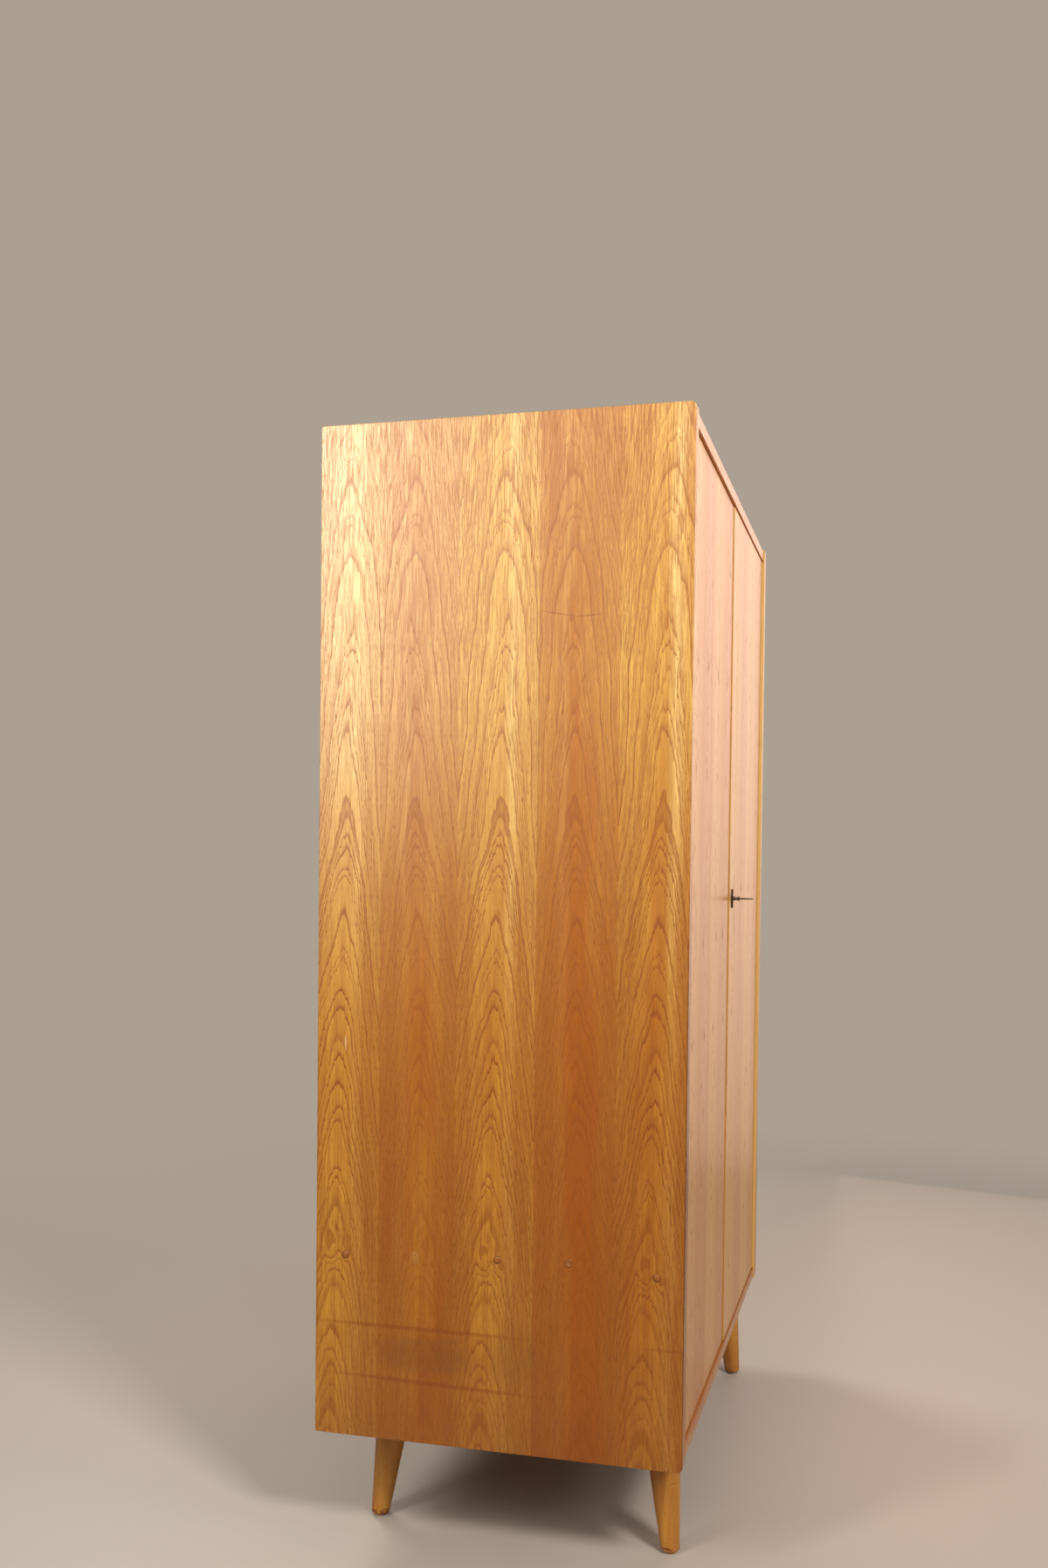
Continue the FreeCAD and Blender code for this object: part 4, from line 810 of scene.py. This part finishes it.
# Blackened iron is almost black with a dull grey gleam; the key is worn bright where it is held
black_iron = worn_metal("blackened iron, worn", clean="#2A2724", dull="#171412", roughness=0.45)
browned_steel = worn_metal("forged steel, browned", clean="#8A8276", dull="#3A342E", roughness=0.34)
dress(plain_steel, "lock_case", "lock_cap", "lock_bolt")
dress(brass, "strike_plate")
dress(black_iron, "escutcheon", "escutcheon_pins")
dress(browned_steel, "key")

# Screws
# Steel wood screws that hold the fittings, the leg plates and the back panel, some with a domed
# head. They are a little rusty, so they look brown and dull beside the other metals.

screw_steel = worn_metal("steel screws, tarnished", clean="#9A948A", dull="#6B5B49", roughness=0.42)
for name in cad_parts:
    if name.endswith("_screws"):
        dress(screw_steel, name)

# Floor
# A plain pale floor of sealed screed without an end, for the wardrobe to stand on and cast its shadow.
# It fades into the colour of the background.

FLOOR_REACH = 14.0
FADE_FROM = 1.3
FADE_TO = 3.6
BACKGROUND = linear("#ABA092")
floor_mesh = bpy.data.meshes.new("floor")
corners = [(x * FLOOR_REACH, y * FLOOR_REACH, 0.0) for x, y in ((-1, -1), (1, -1), (1, 1), (-1, 1))]
floor_mesh.from_pydata(corners, [], [(0, 1, 2, 3)])
floor = bpy.data.objects.new("floor", floor_mesh)
bpy.context.scene.collection.objects.link(floor)

# Sealed screed is matt, with a faint blurred reflection of what stands on it
floor_material, floor_tree, floor_shader = start_material(
    "sealed screed, pale", Roughness=0.42, Specular_IOR_Level=0.35
)
floor_shader.inputs["Base Color"].default_value = linear("#C3BAB0")
floor_mesh.materials.append(floor_material)
where = floor_tree.nodes.new("ShaderNodeTexCoord").outputs["Object"]
how_far = add_node(floor_tree, "ShaderNodeVectorMath", {0: where}, operation="LENGTH").outputs["Value"]
fade = add_node(
    floor_tree, "ShaderNodeMapRange", {"Value": how_far, "From Min": FADE_FROM, "From Max": FADE_TO},
    interpolation_type="SMOOTHSTEP",
)
glow = add_node(floor_tree, "ShaderNodeEmission", {0: BACKGROUND, 1: 1.0})
faded_floor = add_node(floor_tree, "ShaderNodeMixShader", {0: fade, 1: floor_shader, 2: glow})
floor_tree.links.new(faded_floor.outputs[0], floor_tree.nodes["Material Output"].inputs[0])

# Light
# Soft studio light from six softboxes: two in front, two on the left for the sheen on the side panel,
# one on the right that the doors reflect, and one behind; a faint even sky fills the shadows.


def softbox(name, place, target, width, height, power, tint, spread, foot=1.0):
    """Rectangular area light that faces a target and isn't seen itself, dimmed towards its foot."""
    lamp = bpy.data.lights.new(name, "AREA")
    lamp.shape = "RECTANGLE"
    lamp.size = width
    lamp.size_y = height
    lamp.energy = power
    lamp.color = linear(tint)[:3]
    lamp.spread = math.radians(spread)
    if foot < 1.0:
        lamp.use_nodes = True
        tree = lamp.node_tree
        across = tree.nodes.new("ShaderNodeNewGeometry").outputs["Parametric"]
        share = add_node(tree, "ShaderNodeSeparateXYZ", {0: across}).outputs[1]
        level = add_node(tree, "ShaderNodeMapRange", {"Value": share, "To Min": foot, "To Max": 1.0})
        tree.links.new(level.outputs[0], tree.nodes["Emission"].inputs["Strength"])
    light = bpy.data.objects.new(name, lamp)
    light.location = place
    light.rotation_euler = (Vector(target) - Vector(place)).to_track_quat("-Z", "Y").to_euler()
    light.visible_camera = False
    bpy.context.scene.collection.objects.link(light)


softbox(
    "key softbox", place=(-2.6, -2.4, 3.3), target=(0.0, -0.2, 1.1),
    width=0.85, height=0.85, power=34.0, tint="#FFF8F0", spread=90.0,
)
softbox(
    "front softbox", place=(-0.9, -3.6, 3.0), target=(0.0, -0.28, 0.8),
    width=1.4, height=1.0, power=8.0, tint="#FFF4EC", spread=100.0,
)
softbox(
    "left softbox", place=(-2.6, 1.36, 2.05), target=(-0.55, 0.36, 1.5),
    width=0.45, height=1.6, power=29.0, tint="#FFF6EA", spread=100.0, foot=0.2,
)
softbox(
    "upper softbox", place=(-2.8, 0.5, 2.8), target=(-0.55, 0.1, 1.9),
    width=2.2, height=0.9, power=5.5, tint="#FFF8F0", spread=100.0,
)
softbox(
    "right softbox", place=(2.2, -0.9, 1.6), target=(0.0, -0.3, 1.3),
    width=1.2, height=3.2, power=34.0, tint="#FFD6C8", spread=180.0, foot=0.16,
)
softbox(
    "back softbox", place=(2.4, 2.8, 3.6), target=(0.0, 0.2, 0.9),
    width=1.6, height=1.6, power=95.0, tint="#FFFAF4", spread=180.0,
)

SKY_STRENGTH = 0.05
world = bpy.data.worlds.new("studio")
bpy.context.scene.world = world
world.use_nodes = True
sky = world.node_tree
rays = sky.nodes.new("ShaderNodeLightPath").outputs
seen = rays["Is Camera Ray"]
for kind in ("Is Glossy Ray", "Is Transmission Ray"):
    seen = add_node(sky, "ShaderNodeMath", {0: seen, 1: rays[kind]}, operation="MAXIMUM")
backdrop = add_node(sky, "ShaderNodeBackground", {0: BACKGROUND, 1: 1.0})
ambient = add_node(sky, "ShaderNodeBackground", {0: linear("#FFF8F0"), 1: SKY_STRENGTH})
mixed = add_node(sky, "ShaderNodeMixShader", {0: seen, 1: ambient, 2: backdrop})
sky.links.new(mixed.outputs[0], sky.nodes["World Output"].inputs[0])

# Camera
# Placed by the edges of the case: a little above half its height, almost square on to its left side.
# Its axis lies below the middle of the picture, as when a picture has been cropped.

IMAGE_HEIGHT = 1796
FOCAL_PIXELS = 1669.2
AXIS_BELOW_MIDDLE = 128.6
viewpoint = (-2.7344, -0.6004, 1.1132)
heading = math.radians(14.743)
tilt = math.radians(-1.474)
roll = math.radians(0.606)
lens = bpy.data.cameras.new("camera")
lens.sensor_width = 36.0
lens.lens = lens.sensor_width * FOCAL_PIXELS / IMAGE_HEIGHT
lens.shift_y = AXIS_BELOW_MIDDLE / IMAGE_HEIGHT
camera = bpy.data.objects.new("camera", lens)
camera.matrix_world = (
    Matrix.Translation(viewpoint)
    @ Matrix.Rotation(heading - math.pi / 2, 4, "Z")
    @ Matrix.Rotation(math.pi / 2 + tilt, 4, "X")
    @ Matrix.Rotation(roll, 4, "Z")
)
bpy.context.scene.collection.objects.link(camera)
bpy.context.scene.camera = camera
bpy.context.scene.view_settings.view_transform = "Standard"
